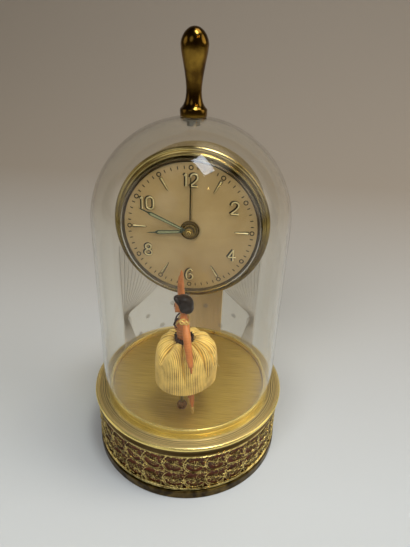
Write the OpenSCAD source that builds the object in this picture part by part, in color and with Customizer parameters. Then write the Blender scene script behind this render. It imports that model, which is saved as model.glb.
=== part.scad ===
// Table clock: a round clock head on a rear strip over a stage with a turning dancer,
// on a pierced base with a musical movement, under a clear dome that lifts off.
// Millimetres, +Z up, origin at the centre of the base's underside. The dial faces -Y.

/* [Base] */
// How far the foot ring stands out past the dome
foot_over = 5.6; // [4.5:0.1:9]
// Height of the foot ring
foot_h = 5.4; // [4:0.1:8]
// Radial width of the foot ring
foot_w = 3.2; // [2.6:0.1:4]
// Height of the dark groove over the foot ring
groove_h = 1.3; // [0.8:0.1:2.5]
// Depth of that groove behind the foot's face
groove_d = 1.6; // [1:0.1:2]
// Height of the pierced gallery with its two borders
gallery_h = 27.3; // [24:0.1:34]
// Thickness of the gallery's metal
gallery_t = 1; // [0.8:0.1:1.4]
// Width of one repeat of the gallery's pattern
repeat_w = 11.9; // [11:0.1:12.8]
// Height of the gallery's lower border
lower_border_h = 1.9; // [1.2:0.1:2.6]
// Height of the gallery's upper border
upper_border_h = 1.4; // [1:0.1:2.4]
// Height of the cornice from the gallery to the dome's ledge
cornice_h = 6; // [5:0.1:8]
// Radius of the bead round the cornice
bead_r = 1.2; // [0.9:0.1:1.6]
// Depth of the cornice's cove behind its bead
cove_d = 2.4; // [1.6:0.1:2.8]
// Thickness of spun sheet brass
sheet_t = 1; // [0.8:0.1:1.4]
// Thickness of the red lining behind the gallery
lining_t = 0.5; // [0.3:0.05:0.6]

/* [Stage] */
// Height of the rim that centres the dome, over the ledge
rim_h = 5; // [4:0.1:8]
// Thickness of that rim
rim_t = 1.6; // [1.2:0.1:2.2]
// Height of the stage plate over the ledge
stage_rise = 1.9; // [1.6:0.1:3]
// Thickness of the stage plate
stage_t = 0.8; // [0.6:0.1:1.2]

/* [Dome] */
// Outer radius of the dome
dome_r = 52; // [50:0.1:53]
// Wall of the dome
dome_wall = 1.4; // [1.2:0.1:1.8]
// Height of the dome's straight wall
dome_straight_h = 106.9; // [104:0.1:125]

/* [Knob] */
// Height of the knob over the dome
knob_h = 37; // [30:0.5:45]
// Widest radius of the knob's pear
knob_r = 6.5; // [5.5:0.1:8]
// Radius of the knob's neck
knob_neck_r = 3.6; // [3:0.1:4.4]
// Radius of the knob's foot
knob_foot_r = 6.5; // [5.5:0.1:8]

/* [Column] */
// Width of the strip that carries the clock head
pillar_w = 25; // [20:0.5:30]
// Thickness of that strip
pillar_t = 0.8; // [0.6:0.1:1]
// Turn of the strip from the middle of the back, in degrees
pillar_turn = -5.6; // [-8:0.2:4]
// Air between the curtain film's top and the head's bracket
film_air = 0.7; // [0.4:0.1:20]
// Thickness of the curtain film
film_t = 0.2; // [0.15:0.05:0.25]
// Half of the angle that the film spans
film_half_angle = 64; // [50:1:68]
// Turn of the film from the middle of the back, in degrees
film_turn = 8; // [-4:1:12]
// Radius of the film's upper corners
film_corner_r = 9; // [5:0.5:14]

/* [Clock head] */
// Drop of the dial's centre under the centre of the dome's round top
head_drop = 3.6; // [2:0.1:6]
// Distance of the dial's face in front of the dome's axis
dial_front = 5.4; // [3:0.1:8]
// Air between the bezel and the dome's wall
head_air = 8.9; // [8:0.1:10]
// Depth of the clock case behind the bezel
case_depth = 25; // [23:0.1:26]
// Thickness of the case's sheet
case_t = 0.9; // [0.7:0.1:1.2]
// Air between the dial's edge and the bezel's lip
dial_air = 2.4; // [2:0.1:3]
// Thickness of the dial
dial_t = 0.8; // [0.6:0.1:1]
// Height of the dial's ring over the movement's front plate
dial_ring_h = 4.4; // [4.2:0.1:6]
// Height of the lens over the dial's face
lens_rise = 10.8; // [10.2:0.1:13]
// Thickness of the lens
lens_t = 1.3; // [1:0.1:1.6]

/* [Hands] */
// Length of the minute hand, as a share of the dial's radius
minute_share = 0.814; // [0.7:0.002:0.86]
// Length of the hour hand, as a share of the dial's radius
hour_share = 0.648; // [0.5:0.002:0.7]
// Length of the alarm hand, as a share of the dial's radius
alarm_share = 0.82; // [0.6:0.002:0.86]
// Time shown, hours
shown_hour = 8; // [0:1:11]
// Time shown, minutes
shown_minute = 49; // [0:1:59]
// Thickness of the hands
hand_t = 0.4; // [0.3:0.05:0.5]

/* [Gears] */
// Inner radius of the case over the module of the motion work
case_over_module = 79; // [76:0.5:82]
// Module of the clock's mainspring wheel over that of the motion work
barrel_over_motion = 0.76; // [0.73:0.01:0.78]
// Module of the musical movement's spur gears
music_module = 0.5; // [0.49:0.005:0.51]
// Module of the musical movement's crown gear
crown_module = 0.6; // [0.59:0.005:0.61]

/* [Dancer] */
// Distance of the dancer's spindle in front of the dome's axis
dancer_front = 28; // [27:0.1:29]
// Radius of the skirt at its hem
skirt_r = 18.7; // [16:0.1:19.4]
// Height of the skirt
skirt_h = 26.6; // [22:0.1:28]
// Height of the waist over the stage
waist_rise = 49; // [46:0.1:52]
// Height of the head's centre over the waist
head_over_waist = 19.8; // [19:0.1:22]
// Radius of the head
doll_head_r = 4.6; // [4.2:0.1:5]

/* [Hidden] */
$fn = 96;

// Clearances and overruns
cut = 1;
gap = 0.1;
run_fit = 0.06;
body_gap = 0.35;
film_gap = 0.12;
arc_steps = 10;

// Sides of small round shapes
soft_fn = 20;
wing_fn = 32;
stroke_fn = 12;
flute_fn = 16;
worm_fn = 10;
worm_slices = 14;
nut_sides = 6;

// Colours
brass = "#b8952f";
dark_brass = "#7a5f2a";
steel = "#9a9da0";
flesh = "#c98558";

// Heights and radii that the base's pieces share
foot_r = dome_r + foot_over;
gallery_z = foot_h + groove_h;
cornice_z = gallery_z + gallery_h;
ledge_z = cornice_z + cornice_h;
stage_z = ledge_z + stage_rise;
foot_in_r = foot_r - foot_w;
drum_r = foot_in_r - gap;
drum_in_r = drum_r - sheet_t;
groove_r = foot_r - groove_d;
gallery_r = groove_r + gallery_t;
gallery_in_r = gallery_r - gallery_t;
lining_r = gallery_in_r - 2 * gap;
dome_in_r = dome_r - dome_wall;
dome_round_z = ledge_z + dome_straight_h;
dome_top_z = dome_round_z + dome_r;
pillar_r = dome_in_r - body_gap;
pillar_in_r = pillar_r - pillar_t;
film_r = pillar_in_r - film_gap;
film_in_r = film_r - film_t;
rim_r = film_in_r - film_gap;
rim_in_r = rim_r - rim_t;
flange_in_r = rim_in_r - 4 * sheet_t;
stage_r = rim_in_r - body_gap;

// Heights and radii that the clock head's pieces share, forward from the dial's face
head_z = dome_round_z - head_drop;
bezel_r = dome_in_r - head_air;
bezel_bead_r = 1.4;
lip_inset = 3;
case_inset = 1.3;
lip_r_head = bezel_r - lip_inset;
lip_t = 1.4;
lip_in_r = lip_r_head - lip_t;
lip_back = 1.4;
bezel_h = 5.1;
bezel_back_z = -lip_back - bezel_h;
case_r = bezel_r - case_inset;
case_in_r = case_r - case_t;
motion_module = case_in_r / case_over_module;
barrel_module = barrel_over_motion * motion_module;
dial_r = lip_in_r - dial_air;
minute_len = minute_share * dial_r;
hour_len = hour_share * dial_r;
alarm_len = alarm_share * dial_r;
front_plate_z = -dial_t - dial_ring_h;
cover_t = 0.8;
cover_z = bezel_back_z - case_depth;
case_back_y = -dial_front - cover_z;

// Screws
screw_r = 1;
screw_head_r = 2;
screw_head_h = 1;
screw_count = 4;
nut_h = 2;

function arc(cx, cy, r, from, to) =
    [for (i = [0 : arc_steps]) let (a = from + (to - from) * i / arc_steps) [cx + r * cos(a), cy + r * sin(a)]];

module ring(outer, inner, height) {
    difference() {
        cylinder(r = outer, h = height);
        translate([0, 0, -cut]) cylinder(r = inner, h = height + 2 * cut);
    }
}

module hole(r, depth) {
    translate([0, 0, -cut]) cylinder(r = r, h = depth + 2 * cut);
}

// A screw with its head at z = 0 and below, and its shank above
module screw(length) {
    translate([0, 0, -screw_head_h]) cylinder(r = screw_head_r, h = screw_head_h);
    cylinder(r = screw_r, h = length);
}

// Teeth with straight flanks and room to run
tooth_root_share = 0.52;
tooth_tip_share = 0.2;
addendum_share = 0.75;
dedendum_share = 1;

function tip_r(teeth, size) = (teeth / 2 + addendum_share) * size;

function gear_outline(teeth, size) = [
    for (i = [0 : teeth - 1], side = [-1, 1], place = side < 0 ? [0, 1] : [1, 0])
        let (
            r = place == 0 ? (teeth / 2 - dedendum_share) * size : tip_r(teeth, size),
            half = (place == 0 ? tooth_root_share : tooth_tip_share) * 180 / teeth,
            a = 360 * i / teeth + side * half
        )
        [r * cos(a), r * sin(a)]
];

module gear(teeth, size, height, bore) {
    difference() {
        linear_extrude(height = height) polygon(gear_outline(teeth, size));
        hole(bore, height);
    }
}

// Places a gear so that a tooth points along the angle, or a gap does
module tooth_at(angle) {
    rotate([0, 0, angle]) children();
}
module gap_at(angle, teeth) {
    rotate([0, 0, angle + 180 / teeth]) children();
}

module limb(places, radii) {
    for (i = [0 : len(places) - 2])
        hull() {
            translate(places[i]) sphere(r = radii[i], $fn = soft_fn);
            translate(places[i + 1]) sphere(r = radii[i + 1], $fn = soft_fn);
        }
}

// Base

foot_edge = 0.5;
module foot_ring() {
    color(dark_brass) rotate_extrude() polygon([
        [foot_in_r, 0], [foot_r - foot_edge, 0], [foot_r, foot_edge], [foot_r, foot_h - foot_edge],
        [foot_r - foot_edge, foot_h], [groove_r, foot_h], [groove_r, gallery_z], [foot_in_r, gallery_z]
    ]);
}

// The drum has a turned-in flange that the bottom plate is screwed to
plate_z = 2;
plate_t = 1.2;
flange_w = 4;
drum_z = plate_z + plate_t + gap;
screw_ring_r = drum_in_r - flange_w / 2;
module base_drum() {
    color(dark_brass) difference() {
        translate([0, 0, drum_z]) union() {
            ring(drum_r, drum_in_r, ledge_z - sheet_t - drum_z - gap);
            ring(drum_r, drum_in_r - flange_w, sheet_t);
        }
        base_screw_places() translate([0, 0, drum_z]) hole(screw_r + gap / 2, sheet_t);
    }
}
module base_screw_places() {
    for (i = [0 : screw_count - 1])
        rotate([0, 0, 45 + 360 * i / screw_count]) translate([screw_ring_r, 0, 0]) children();
}

// Gallery: two borders joined by flat pierced panels, one for each repeat. Each panel has an upper
// and a lower rosette, each under a scroll that sweeps over it and runs down on its right.
gallery_repeats = round(2 * PI * gallery_r / repeat_w);
panel_w = 2 * PI * gallery_r / gallery_repeats;
panel_h = gallery_h - lower_border_h - upper_border_h;
wire_w = 0.75;
border_out = 0.3;
rosette_share = 0.27;
boss_share = 0.09;
scroll_share = 0.58;
floret_share = 0.17;
bar_share = 0.46;
rosette_height_shares = [0.76, 0.24];
scroll_from = -58;
scroll_to = 118;
bar_angle = -20;
module wire_ring(r) {
    difference() {
        circle(r = r);
        circle(r = r - wire_w);
    }
}
module wire_arc(r, from, to) {
    middle = (from + to) / 2;
    intersection() {
        wire_ring(r);
        polygon([[0, 0], for (a = [from, middle, to]) 2 * r * [cos(a), sin(a)]]);
    }
}
module gallery_panel() {
    for (share = rosette_height_shares)
        translate([0, panel_h * share]) {
            wire_ring(panel_w * rosette_share);
            circle(r = panel_w * boss_share);
            wire_arc(panel_w * scroll_share, scroll_from, scroll_to);
            rotate([0, 0, bar_angle]) translate([-panel_w * bar_share, -wire_w / 2])
                square([panel_w * (bar_share + scroll_share) - wire_w / 2, wire_w]);
        }
    translate([panel_w / 2, panel_h / 2]) wire_ring(panel_w * floret_share);
}
module gallery() {
    color(brass) translate([0, 0, gallery_z + gap / 2]) {
        ring(gallery_r + border_out, gallery_in_r, lower_border_h);
        translate([0, 0, gallery_h - upper_border_h - gap])
            ring(gallery_r + border_out, gallery_in_r, upper_border_h);
        for (i = [0 : gallery_repeats - 1])
            rotate([0, 0, -90 + 360 * i / gallery_repeats]) translate([gallery_in_r + gap, 0, lower_border_h - gap])
                rotate([90, 0, 90]) linear_extrude(height = gallery_t - gap) gallery_panel();
    }
}

module gallery_lining() {
    color("#7a2f1c") translate([0, 0, gallery_z + gap]) ring(lining_r, lining_r - lining_t, gallery_h - 2 * gap);
}

// The cornice: cove and bead outside, the dome's ledge on top and a flange inside
lip_r = foot_r + 2 * bead_r / 3;
bead_from = 140;
bead_to = -80;
module cornice() {
    bead_x = lip_r - bead_r;
    bead_y = ledge_z + bead_r / 2 - bead_r;
    cove_top = bead_y - bead_r;
    color(brass) difference() {
        rotate_extrude() polygon(concat(
            [[flange_in_r, ledge_z - sheet_t], [flange_in_r, ledge_z], [bead_x - bead_r, ledge_z]],
            arc(bead_x, bead_y, bead_r, bead_from, bead_to),
            [[bead_x - bead_r / 2, cove_top], [lip_r - cove_d, cove_top - bead_r],
             [lip_r - cove_d, cornice_z + bead_r], [gallery_r + border_out, cornice_z + border_out],
             [gallery_r + border_out, cornice_z], [drum_r + sheet_t, cornice_z], [drum_r + sheet_t, ledge_z - sheet_t]]
        ));
        rim_screw_places() hole(screw_r + gap / 2, sheet_t);
    }
}
module rim_screw_places() {
    for (a = [30 : 120 : 270])
        rotate([0, 0, a]) translate([flange_in_r + 2 * screw_r, 0, ledge_z - sheet_t]) children();
}

module stage_rim() {
    edge = rim_t / 4;
    color(brass) difference() {
        rotate_extrude() polygon([
            [rim_in_r, ledge_z + gap / 2], [rim_r, ledge_z + gap / 2], [rim_r, ledge_z + rim_h - edge],
            [rim_r - edge, ledge_z + rim_h], [rim_in_r + edge, ledge_z + rim_h], [rim_in_r, ledge_z + rim_h - edge]
        ]);
        pillar_rivet_places(foot_rivet_z) rivet_hole();
    }
}

// Stage plate: a turned-down edge stands on the cornice's flange
stage_post_r = 1.6;
module stage_plate() {
    color(brass) difference() {
        union() {
            translate([0, 0, stage_z - stage_t]) cylinder(r = stage_r, h = stage_t);
            translate([0, 0, ledge_z + gap / 2]) ring(stage_r, stage_r - stage_t, stage_rise - gap);
            rim_screw_places() translate([0, 0, sheet_t + gap / 2]) cylinder(r = stage_post_r, h = stage_rise - stage_t);
        }
        rim_screw_places() hole(screw_r + gap / 2, sheet_t + stage_rise - stage_t - cut);
        translate([0, -dancer_front, stage_z - stage_t]) hole(bush_r + gap / 2, stage_t);
        translate([rod_x, rod_y, stage_z - stage_t]) hole(rod_r + body_gap, stage_t);
    }
}

bush_r = 2.4;
bush_dome_r = 3.2;
bush_below = 3;
spindle_r = 0.95;
module spindle_bush() {
    color(dark_brass) translate([0, -dancer_front, stage_z]) difference() {
        union() {
            translate([0, 0, -stage_t - bush_below]) cylinder(r = bush_r, h = stage_t + bush_below + gap);
            intersection() {
                translate([0, 0, gap / 2]) cylinder(r = bush_dome_r, h = bush_dome_r);
                sphere(r = bush_dome_r);
            }
        }
        translate([0, 0, -stage_t - bush_below]) hole(spindle_r + run_fit, stage_t + bush_below + bush_dome_r);
    }
}

// Bottom plate with a well for the winding key and a ring of sound holes
well_r = 19;
well_top_z = 12;
sound_hole_r = 1.6;
sound_holes = 14;
sound_hole_step = 9;
module base_plate() {
    plate_r = drum_in_r + sheet_t / 2;
    color(dark_brass) difference() {
        union() {
            translate([0, 0, plate_z]) cylinder(r = plate_r, h = plate_t);
            translate([0, barrel_y, plate_z]) cylinder(r = well_r + sheet_t, h = well_top_z - plate_z);
        }
        translate([0, barrel_y, plate_z - cut]) cylinder(r = well_r, h = well_top_z - plate_z - sheet_t + cut);
        translate([0, barrel_y, plate_z]) hole(key_boss_r + body_gap, well_top_z - plate_z);
        base_screw_places() translate([0, 0, plate_z]) hole(screw_r + gap / 2, plate_t);
        music_legs() translate([0, 0, plate_z]) hole(screw_r + gap / 2, plate_t);
        for (i = [0 : sound_holes - 1])
            rotate([0, 0, 90 + (i - (sound_holes - 1) / 2) * sound_hole_step])
                translate([flange_in_r - sound_hole_r, 0, plate_z]) hole(sound_hole_r, plate_t);
    }
}

module base_screws() {
    color(steel) {
        base_screw_places() translate([0, 0, plate_z - gap / 2]) screw(plate_t + sheet_t + gap);
        music_legs() translate([0, 0, plate_z - gap / 2]) screw(plate_t + leg_thread);
        rim_screw_places() translate([0, 0, -gap / 2]) screw(sheet_t + stage_rise - stage_t - cut - gap);
        in_music() comb_screw_places() translate([0, 0, comb_z + comb_t + gap / 2])
            rotate([180, 0, 0]) screw(comb_t + leg_thread);
    }
}

// Musical movement, in a frame with its origin on the barrel's axis and X along the cylinder
music_turn = 70;
barrel_teeth = 52;
dancer_teeth = 24;
crown_teeth = 40;
crown_pinion_teeth = 10;
cylinder_teeth = 32;
governor_pinion_teeth = 8;
governor_teeth = 16;
worm_starts = 2;
governor_module = 0.8 * music_module;
barrel_y = -dancer_front + (barrel_teeth + dancer_teeth) * music_module / 2;
bed_over_well = 1.4;
bed_z = well_top_z + bed_over_well;
bed_t = 2;
bed_top_z = bed_z + bed_t;
bed_edge = 3.4;
leg_back_x = 20;
leg_low_y = 21;
leg_high_y = 17;
music_drum_r = 11.6;
music_drum_h = 11;
music_drum_z = bed_top_z + body_gap;
spur_t = 1.6;
spur_z = music_drum_z + music_drum_h;
crown_z = spur_z + spur_t;
crown_r = crown_teeth * crown_module / 2;
crown_h = 1.1;
crown_tooth_len = 1.5;
crown_tooth_out = 0.4;
crown_tooth_share = 0.4;
crown_recess_share = 0.7;
crown_pinion_r = crown_pinion_teeth * crown_module / 2;
axis_z = crown_z + crown_h / 2 + crown_pinion_r;
arbor_r = 1.5;
pivot_r = 0.9;
cylinder_r = 5.5;
cylinder_len = 18;
crown_pinion_len = 3;
bearing_t = 1.4;
front_bearing_x = crown_r + crown_pinion_len / 2 + 2 * body_gap;
cylinder_x = front_bearing_x + bearing_t + 4 * body_gap;
pin_r = 0.25;
pin_h = 0.5;
pin_count = 48;
pin_turn = 137.5;
comb_t = 1.2;
comb_pitch = 1;
comb_teeth = 18;
comb_slot = 0.3;
comb_tooth_len = 10.5;
comb_body_len = 7;
comb_screw_share = 0.55;
comb_z = axis_z - comb_t / 2;
comb_tip_y = -cylinder_r - pin_h - body_gap;
leg_r = 2.6;
leg_thread = 3;
post_w = 6;
wheel_after_cylinder = 4.6;
wheel_x = cylinder_x + cylinder_len + wheel_after_cylinder;
wheel_t = 1;
bearing_gap = 0.8;
governor_y = (cylinder_teeth + governor_pinion_teeth) * governor_module / 2;
governor_step = 2.2;
governor_wheel_x = wheel_x - governor_step;
worm_root_r = 1;
worm_offset = 0.65;
worm_len = 6.4;
worm_lead = worm_starts * PI * music_module;
worm_in = 0.12;
worm_y = governor_y + tip_r(governor_teeth, music_module) + worm_root_r + worm_offset - worm_in;
fly_r = 3;
fly_h = 6;
fly_t = 0.6;
fly_over_bed = 4;
fly_z = bed_top_z + fly_over_bed;
fly_pivot_r = 0.6;
block_t = 1.2;
block_front_x = governor_wheel_x - fly_r - block_t - body_gap;
block_back_x = wheel_x + wheel_t + bearing_gap;
block_top_z = axis_z + tip_r(governor_teeth, music_module) + block_t + 2 * body_gap;
block_side = 1.6;
block_past_worm = 4.2;

module in_music() {
    translate([0, barrel_y, 0]) rotate([0, 0, music_turn]) children();
}
// Lays an axle along the movement's X
module along_x(x, y) {
    translate([x, y, axis_z]) rotate([90, 0, 90]) children();
}
module music_legs() {
    in_music() for (x = [-leg_back_x, wheel_x], y = [-leg_low_y, leg_high_y]) translate([x, y, 0]) children();
}
module comb_screw_places() {
    screw_y = comb_tip_y - comb_tooth_len - comb_body_len * comb_screw_share;
    for (i = [0 : 2])
        translate([cylinder_x + cylinder_len * (1 + 2 * i) / 6, screw_y, 0]) children();
}

module music_bedplate() {
    riser_y = comb_tip_y - comb_tooth_len - comb_body_len;
    color("#8c8f90") difference() {
        union() {
            in_music() translate([-leg_back_x - bed_edge, -leg_low_y - bed_edge, bed_z])
                cube([wheel_x + leg_back_x + 2 * bed_edge, leg_low_y + leg_high_y + 2 * bed_edge, bed_t]);
            music_legs() translate([0, 0, plate_z + plate_t + gap / 2])
                cylinder(r = leg_r, h = bed_z - plate_z - plate_t);
            in_music() translate([cylinder_x, riser_y, bed_top_z - gap])
                cube([cylinder_len, comb_body_len, comb_z - bed_top_z]);
        }
        music_legs() translate([0, 0, plate_z + plate_t]) hole(screw_r + gap / 2, leg_thread + gap);
        in_music() {
            translate([0, 0, bed_z]) hole(arbor_r + run_fit, bed_t);
            comb_screw_places() translate([0, 0, comb_z - leg_thread])
                cylinder(r = screw_r + gap / 2, h = leg_thread + cut);
        }
        translate([0, -dancer_front, bed_z]) hole(pivot_r + run_fit, bed_t);
    }
}

module crown_ring() {
    tooth_w = PI * crown_module * crown_tooth_share;
    for (i = [0 : crown_teeth - 1])
        rotate([0, 0, 360 * (i + 0.5) / crown_teeth])
            translate([crown_r + crown_tooth_out - crown_tooth_len, -tooth_w / 2, crown_z - gap])
                cube([crown_tooth_len, tooth_w, crown_h + gap]);
}

module music_barrel() {
    color(brass) in_music() difference() {
        union() {
            translate([0, 0, music_drum_z]) cylinder(r = music_drum_r, h = music_drum_h + gap);
            translate([0, 0, spur_z]) tooth_at(-90 - music_turn) linear_extrude(height = spur_t)
                polygon(gear_outline(barrel_teeth, music_module));
            crown_ring();
        }
        translate([0, 0, music_drum_z]) hole(arbor_r + run_fit, music_drum_h + spur_t + crown_h);
        translate([0, 0, crown_z - gap / 2]) cylinder(r = crown_recess_share * crown_r, h = cut);
    }
}

key_z = 2.2;
key_h = 6;
key_w = 11;
key_wing_t = 2;
key_boss_r = 3;
key_boss_h = 8.6;
module music_arbor() {
    color(steel) in_music() translate([0, 0, key_z + key_boss_h - leg_thread])
        cylinder(r = arbor_r, h = crown_z + crown_h - key_z - key_boss_h + leg_thread);
}
// A winding key: a boss on the arbor with two flat wings
module butterfly(boss_r, boss_h, wing_w, wing_h, wing_t, bore) {
    difference() {
        union() {
            cylinder(r = boss_r, h = boss_h);
            for (side = [0, 180])
                rotate([90, 0, side]) translate([0, wing_h / 2, -wing_t / 2]) linear_extrude(height = wing_t) hull() {
                    translate([wing_w - wing_h / 2, 0]) circle(r = wing_h / 2, $fn = wing_fn);
                    translate([boss_r / 2, 0]) circle(r = wing_h / 3, $fn = wing_fn);
                }
        }
        if (bore > 0) translate([0, 0, boss_h - leg_thread]) cylinder(r = bore, h = leg_thread + cut);
    }
}
module music_key() {
    color(steel) in_music() translate([0, 0, key_z]) rotate([0, 0, -music_turn])
        butterfly(key_boss_r, key_boss_h, key_w, key_h, key_wing_t, arbor_r + gap / 2);
}

module music_cylinder() {
    color(brass) in_music() {
        along_x(cylinder_x, 0) {
            cylinder(r = cylinder_r, h = cylinder_len);
            for (i = [0 : pin_count - 1])
                translate([0, 0, cylinder_len * (i + 0.5) / pin_count]) rotate([0, 90, pin_turn * i])
                    cylinder(r = pin_r, h = cylinder_r + pin_h);
        }
        along_x(crown_r - crown_pinion_len / 2, 0) {
            tooth_at(-90) linear_extrude(height = crown_pinion_len)
                polygon(gear_outline(crown_pinion_teeth, crown_module));
            cylinder(r = pivot_r, h = block_back_x + bearing_t - crown_r + crown_pinion_len / 2);
        }
        along_x(wheel_x, 0) tooth_at(0) linear_extrude(height = wheel_t)
            polygon(gear_outline(cylinder_teeth, governor_module));
    }
}

// Posts that carry the cylinder's two ends
module cylinder_bearings() {
    color(dark_brass) in_music() for (x = [front_bearing_x, block_back_x])
        difference() {
            translate([x, -post_w / 2, bed_top_z + gap / 2]) cube([bearing_t, post_w, axis_z + post_w / 2 - bed_top_z]);
            along_x(x, 0) hole(pivot_r + run_fit, bearing_t);
        }
}

module music_comb() {
    color(steel) in_music() difference() {
        translate([cylinder_x, comb_tip_y - comb_tooth_len - comb_body_len, comb_z + gap / 2])
            cube([cylinder_len, comb_tooth_len + comb_body_len, comb_t - gap / 2]);
        for (i = [1 : comb_teeth - 1])
            translate([cylinder_x + i * comb_pitch - comb_slot / 2, comb_tip_y - comb_tooth_len, comb_z - cut])
                cube([comb_slot, comb_tooth_len + cut, comb_t + 2 * cut]);
        comb_screw_places() translate([0, 0, comb_z]) hole(screw_r + gap / 2, comb_t);
    }
}

// Governor: two cheeks and a bridge carry the wheel and the fly's worm
module governor_block() {
    side_y = governor_y - block_side;
    width = worm_y + block_past_worm - side_y;
    depth = block_back_x + block_t - block_front_x;
    color("#8c8f90") in_music() difference() {
        translate([block_front_x, side_y, bed_top_z + gap / 2]) cube([depth, width, block_top_z - bed_top_z]);
        translate([block_front_x + block_t, side_y - cut, bed_top_z + block_t])
            cube([depth - 2 * block_t, width + 2 * cut, block_top_z - bed_top_z - 2 * block_t]);
        along_x(block_front_x, governor_y) hole(fly_pivot_r + run_fit, depth);
        translate([governor_wheel_x + wheel_t / 2, worm_y, bed_top_z]) hole(fly_pivot_r + run_fit, block_top_z - bed_top_z);
        translate([block_front_x, 0, rod_arm_z - body_gap]) translate([-cut, worm_y - rod_arm_w / 2 - body_gap, 0])
            cube([block_t + 2 * cut, rod_arm_w + 2 * body_gap, rod_arm_t + rod_travel + 2 * body_gap]);
    }
}

module governor_wheel() {
    color(brass) in_music() {
        along_x(governor_wheel_x, governor_y) tooth_at(0) linear_extrude(height = wheel_t)
            polygon(gear_outline(governor_teeth, music_module));
        along_x(wheel_x, governor_y) gap_at(180, governor_pinion_teeth) linear_extrude(height = wheel_t)
            polygon(gear_outline(governor_pinion_teeth, governor_module));
        along_x(block_front_x, governor_y) cylinder(r = fly_pivot_r, h = block_back_x + block_t - block_front_x);
    }
}

module governor_fly() {
    worm_z = axis_z - worm_len / 2;
    worm_turn = 360 * worm_len / worm_lead;
    color(steel) in_music() translate([governor_wheel_x + wheel_t / 2, worm_y, 0]) {
        translate([0, 0, bed_top_z + gap]) cylinder(r = fly_pivot_r, h = block_top_z - bed_top_z - gap);
        translate([0, 0, worm_z]) rotate([0, 0, -worm_turn / 2])
            linear_extrude(height = worm_len, twist = -worm_turn, slices = worm_slices)
                for (side = [-1, 1]) translate([side * worm_offset, 0]) circle(r = worm_root_r, $fn = worm_fn);
        translate([-fly_r, -fly_t / 2, fly_z]) cube([2 * fly_r, fly_t, fly_h]);
    }
}

// Dancer's drive
module dancer_gear() {
    color(brass) translate([0, -dancer_front, spur_z]) gap_at(90, dancer_teeth)
        gear(dancer_teeth, music_module, spur_t, spindle_r + gap / 2);
}
spindle_z = bed_z + gap;
module dancer_spindle() {
    color(steel) translate([0, -dancer_front, 0]) {
        translate([0, 0, spindle_z]) cylinder(r = pivot_r, h = bed_top_z - spindle_z + body_gap);
        translate([0, 0, bed_top_z + body_gap]) cylinder(r = spindle_r, h = spindle_top_z - bed_top_z - body_gap);
    }
}

// Dancer, in a frame with its origin on the spindle at the waist. It looks along -X.
module in_doll() {
    translate([0, -dancer_front, stage_z + waist_rise]) children();
}
hip_r = 3.9;
hip_z = -11;
spindle_in = 7;
spindle_top_z = stage_z + waist_rise + hip_z + spindle_in;
waist_r = 3.4;
chest_r = 4.3;
chest_z = 7.5;
shoulder_z = 12.4;
neck_r = 1.6;
// Profile of the body, in shares: the hips', of their radius and height, and the chest's, of its radius and the
// shoulders' height
hips_share = [[0, 1], [0.8, 1], [1, 0.787], [0.97, 0.333]];
chest_share = [[0.79, 0.121], [0.95, 0.423], [1, 0.605], [0.95, 0.897], [0.6, 1]];
face_x = 0.4;
arm_r = 1.5;
head_place = [face_x, 0, head_over_waist];
nose_share = [-0.95, 0, -0.15];
nose_r_share = 0.14;
jaw_share = [-0.62, 0, -0.55];
jaw_r_share = 0.42;
module doll_head(grow) {
    translate(head_place) sphere(r = doll_head_r + grow);
    translate(head_place + doll_head_r * nose_share) sphere(r = doll_head_r * nose_r_share + grow);
    translate(head_place + doll_head_r * jaw_share) sphere(r = doll_head_r * jaw_r_share + grow);
}
module doll_body() {
    color(flesh) in_doll() difference() {
        union() {
            rotate_extrude() polygon(concat(
                [for (p = hips_share) [hip_r * p[0], hip_z * p[1]]], [[waist_r, 0]],
                [for (p = chest_share) [chest_r * p[0], shoulder_z * p[1]]],
                [[neck_r, shoulder_z + neck_r / 2], [neck_r, head_over_waist - doll_head_r / 2], [0, head_over_waist]]
            ));
            doll_head(0);
        }
        translate([0, 0, hip_z - cut]) cylinder(r = spindle_r + gap / 2, h = cut + spindle_in + gap);
    }
}

hair_t = 0.6;
// Places on the head, in shares of its radius
nape_share = [-2, -2, -2];
nape_size_share = [4, 4, 1.2];
hairline_share = [-2.1, -2, -2.2];
hairline_size_share = [1.7, 4, 2.5];
hairline_tilt = -20;
module doll_hair() {
    color("#1d1512") in_doll() difference() {
        translate(head_place) sphere(r = doll_head_r + hair_t);
        doll_head(gap / 2);
        translate(head_place + doll_head_r * nape_share) cube(doll_head_r * nape_size_share);
        translate(head_place) rotate([0, hairline_tilt, 0]) translate(doll_head_r * hairline_share)
            cube(doll_head_r * hairline_size_share);
    }
}

// Places along each limb: arms in shares of the head's height over the waist, legs of the waist's over the stage
raised_arm_share = [[0.02, 0.273, 0.621], [-0.02, 0.399, 1.111], [-0.071, 0.313, 1.636], [-0.081, 0.273, 1.838]];
raised_arm_r_share = [0.95, 1, 0.75, 0.3];
hanging_arm_share = [[0.091, -0.308, 0.586], [0.172, -0.616, 0.263], [0.222, -0.919, -0.212], [0.242, -0.99, -0.404]];
hanging_arm_r_share = [1, 1, 0.75, 0.35];
front_leg_share = [[0.061, -0.016, -0.267], [0.106, -0.061, -0.592], [0.133, -0.106, -0.837], [0.141, -0.127, -0.974]];
back_leg_share = [[0.059, 0.018, -0.267], [0.086, 0.012, -0.571], [0.088, -0.012, -0.796], [0.088, -0.033, -0.918]];
leg_r_share = [1, 0.88, 0.65, 0.53];
thigh_r = 1.7;
module raised_arm() {
    color(flesh) in_doll() limb(head_over_waist * raised_arm_share, arm_r * raised_arm_r_share);
}
module hanging_arm() {
    color(flesh) in_doll() limb(head_over_waist * hanging_arm_share, arm_r * hanging_arm_r_share);
}
module doll_legs() {
    color(flesh) in_doll() {
        limb(waist_rise * front_leg_share, thigh_r * leg_r_share);
        limb(waist_rise * back_leg_share, thigh_r * leg_r_share);
    }
}

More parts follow.
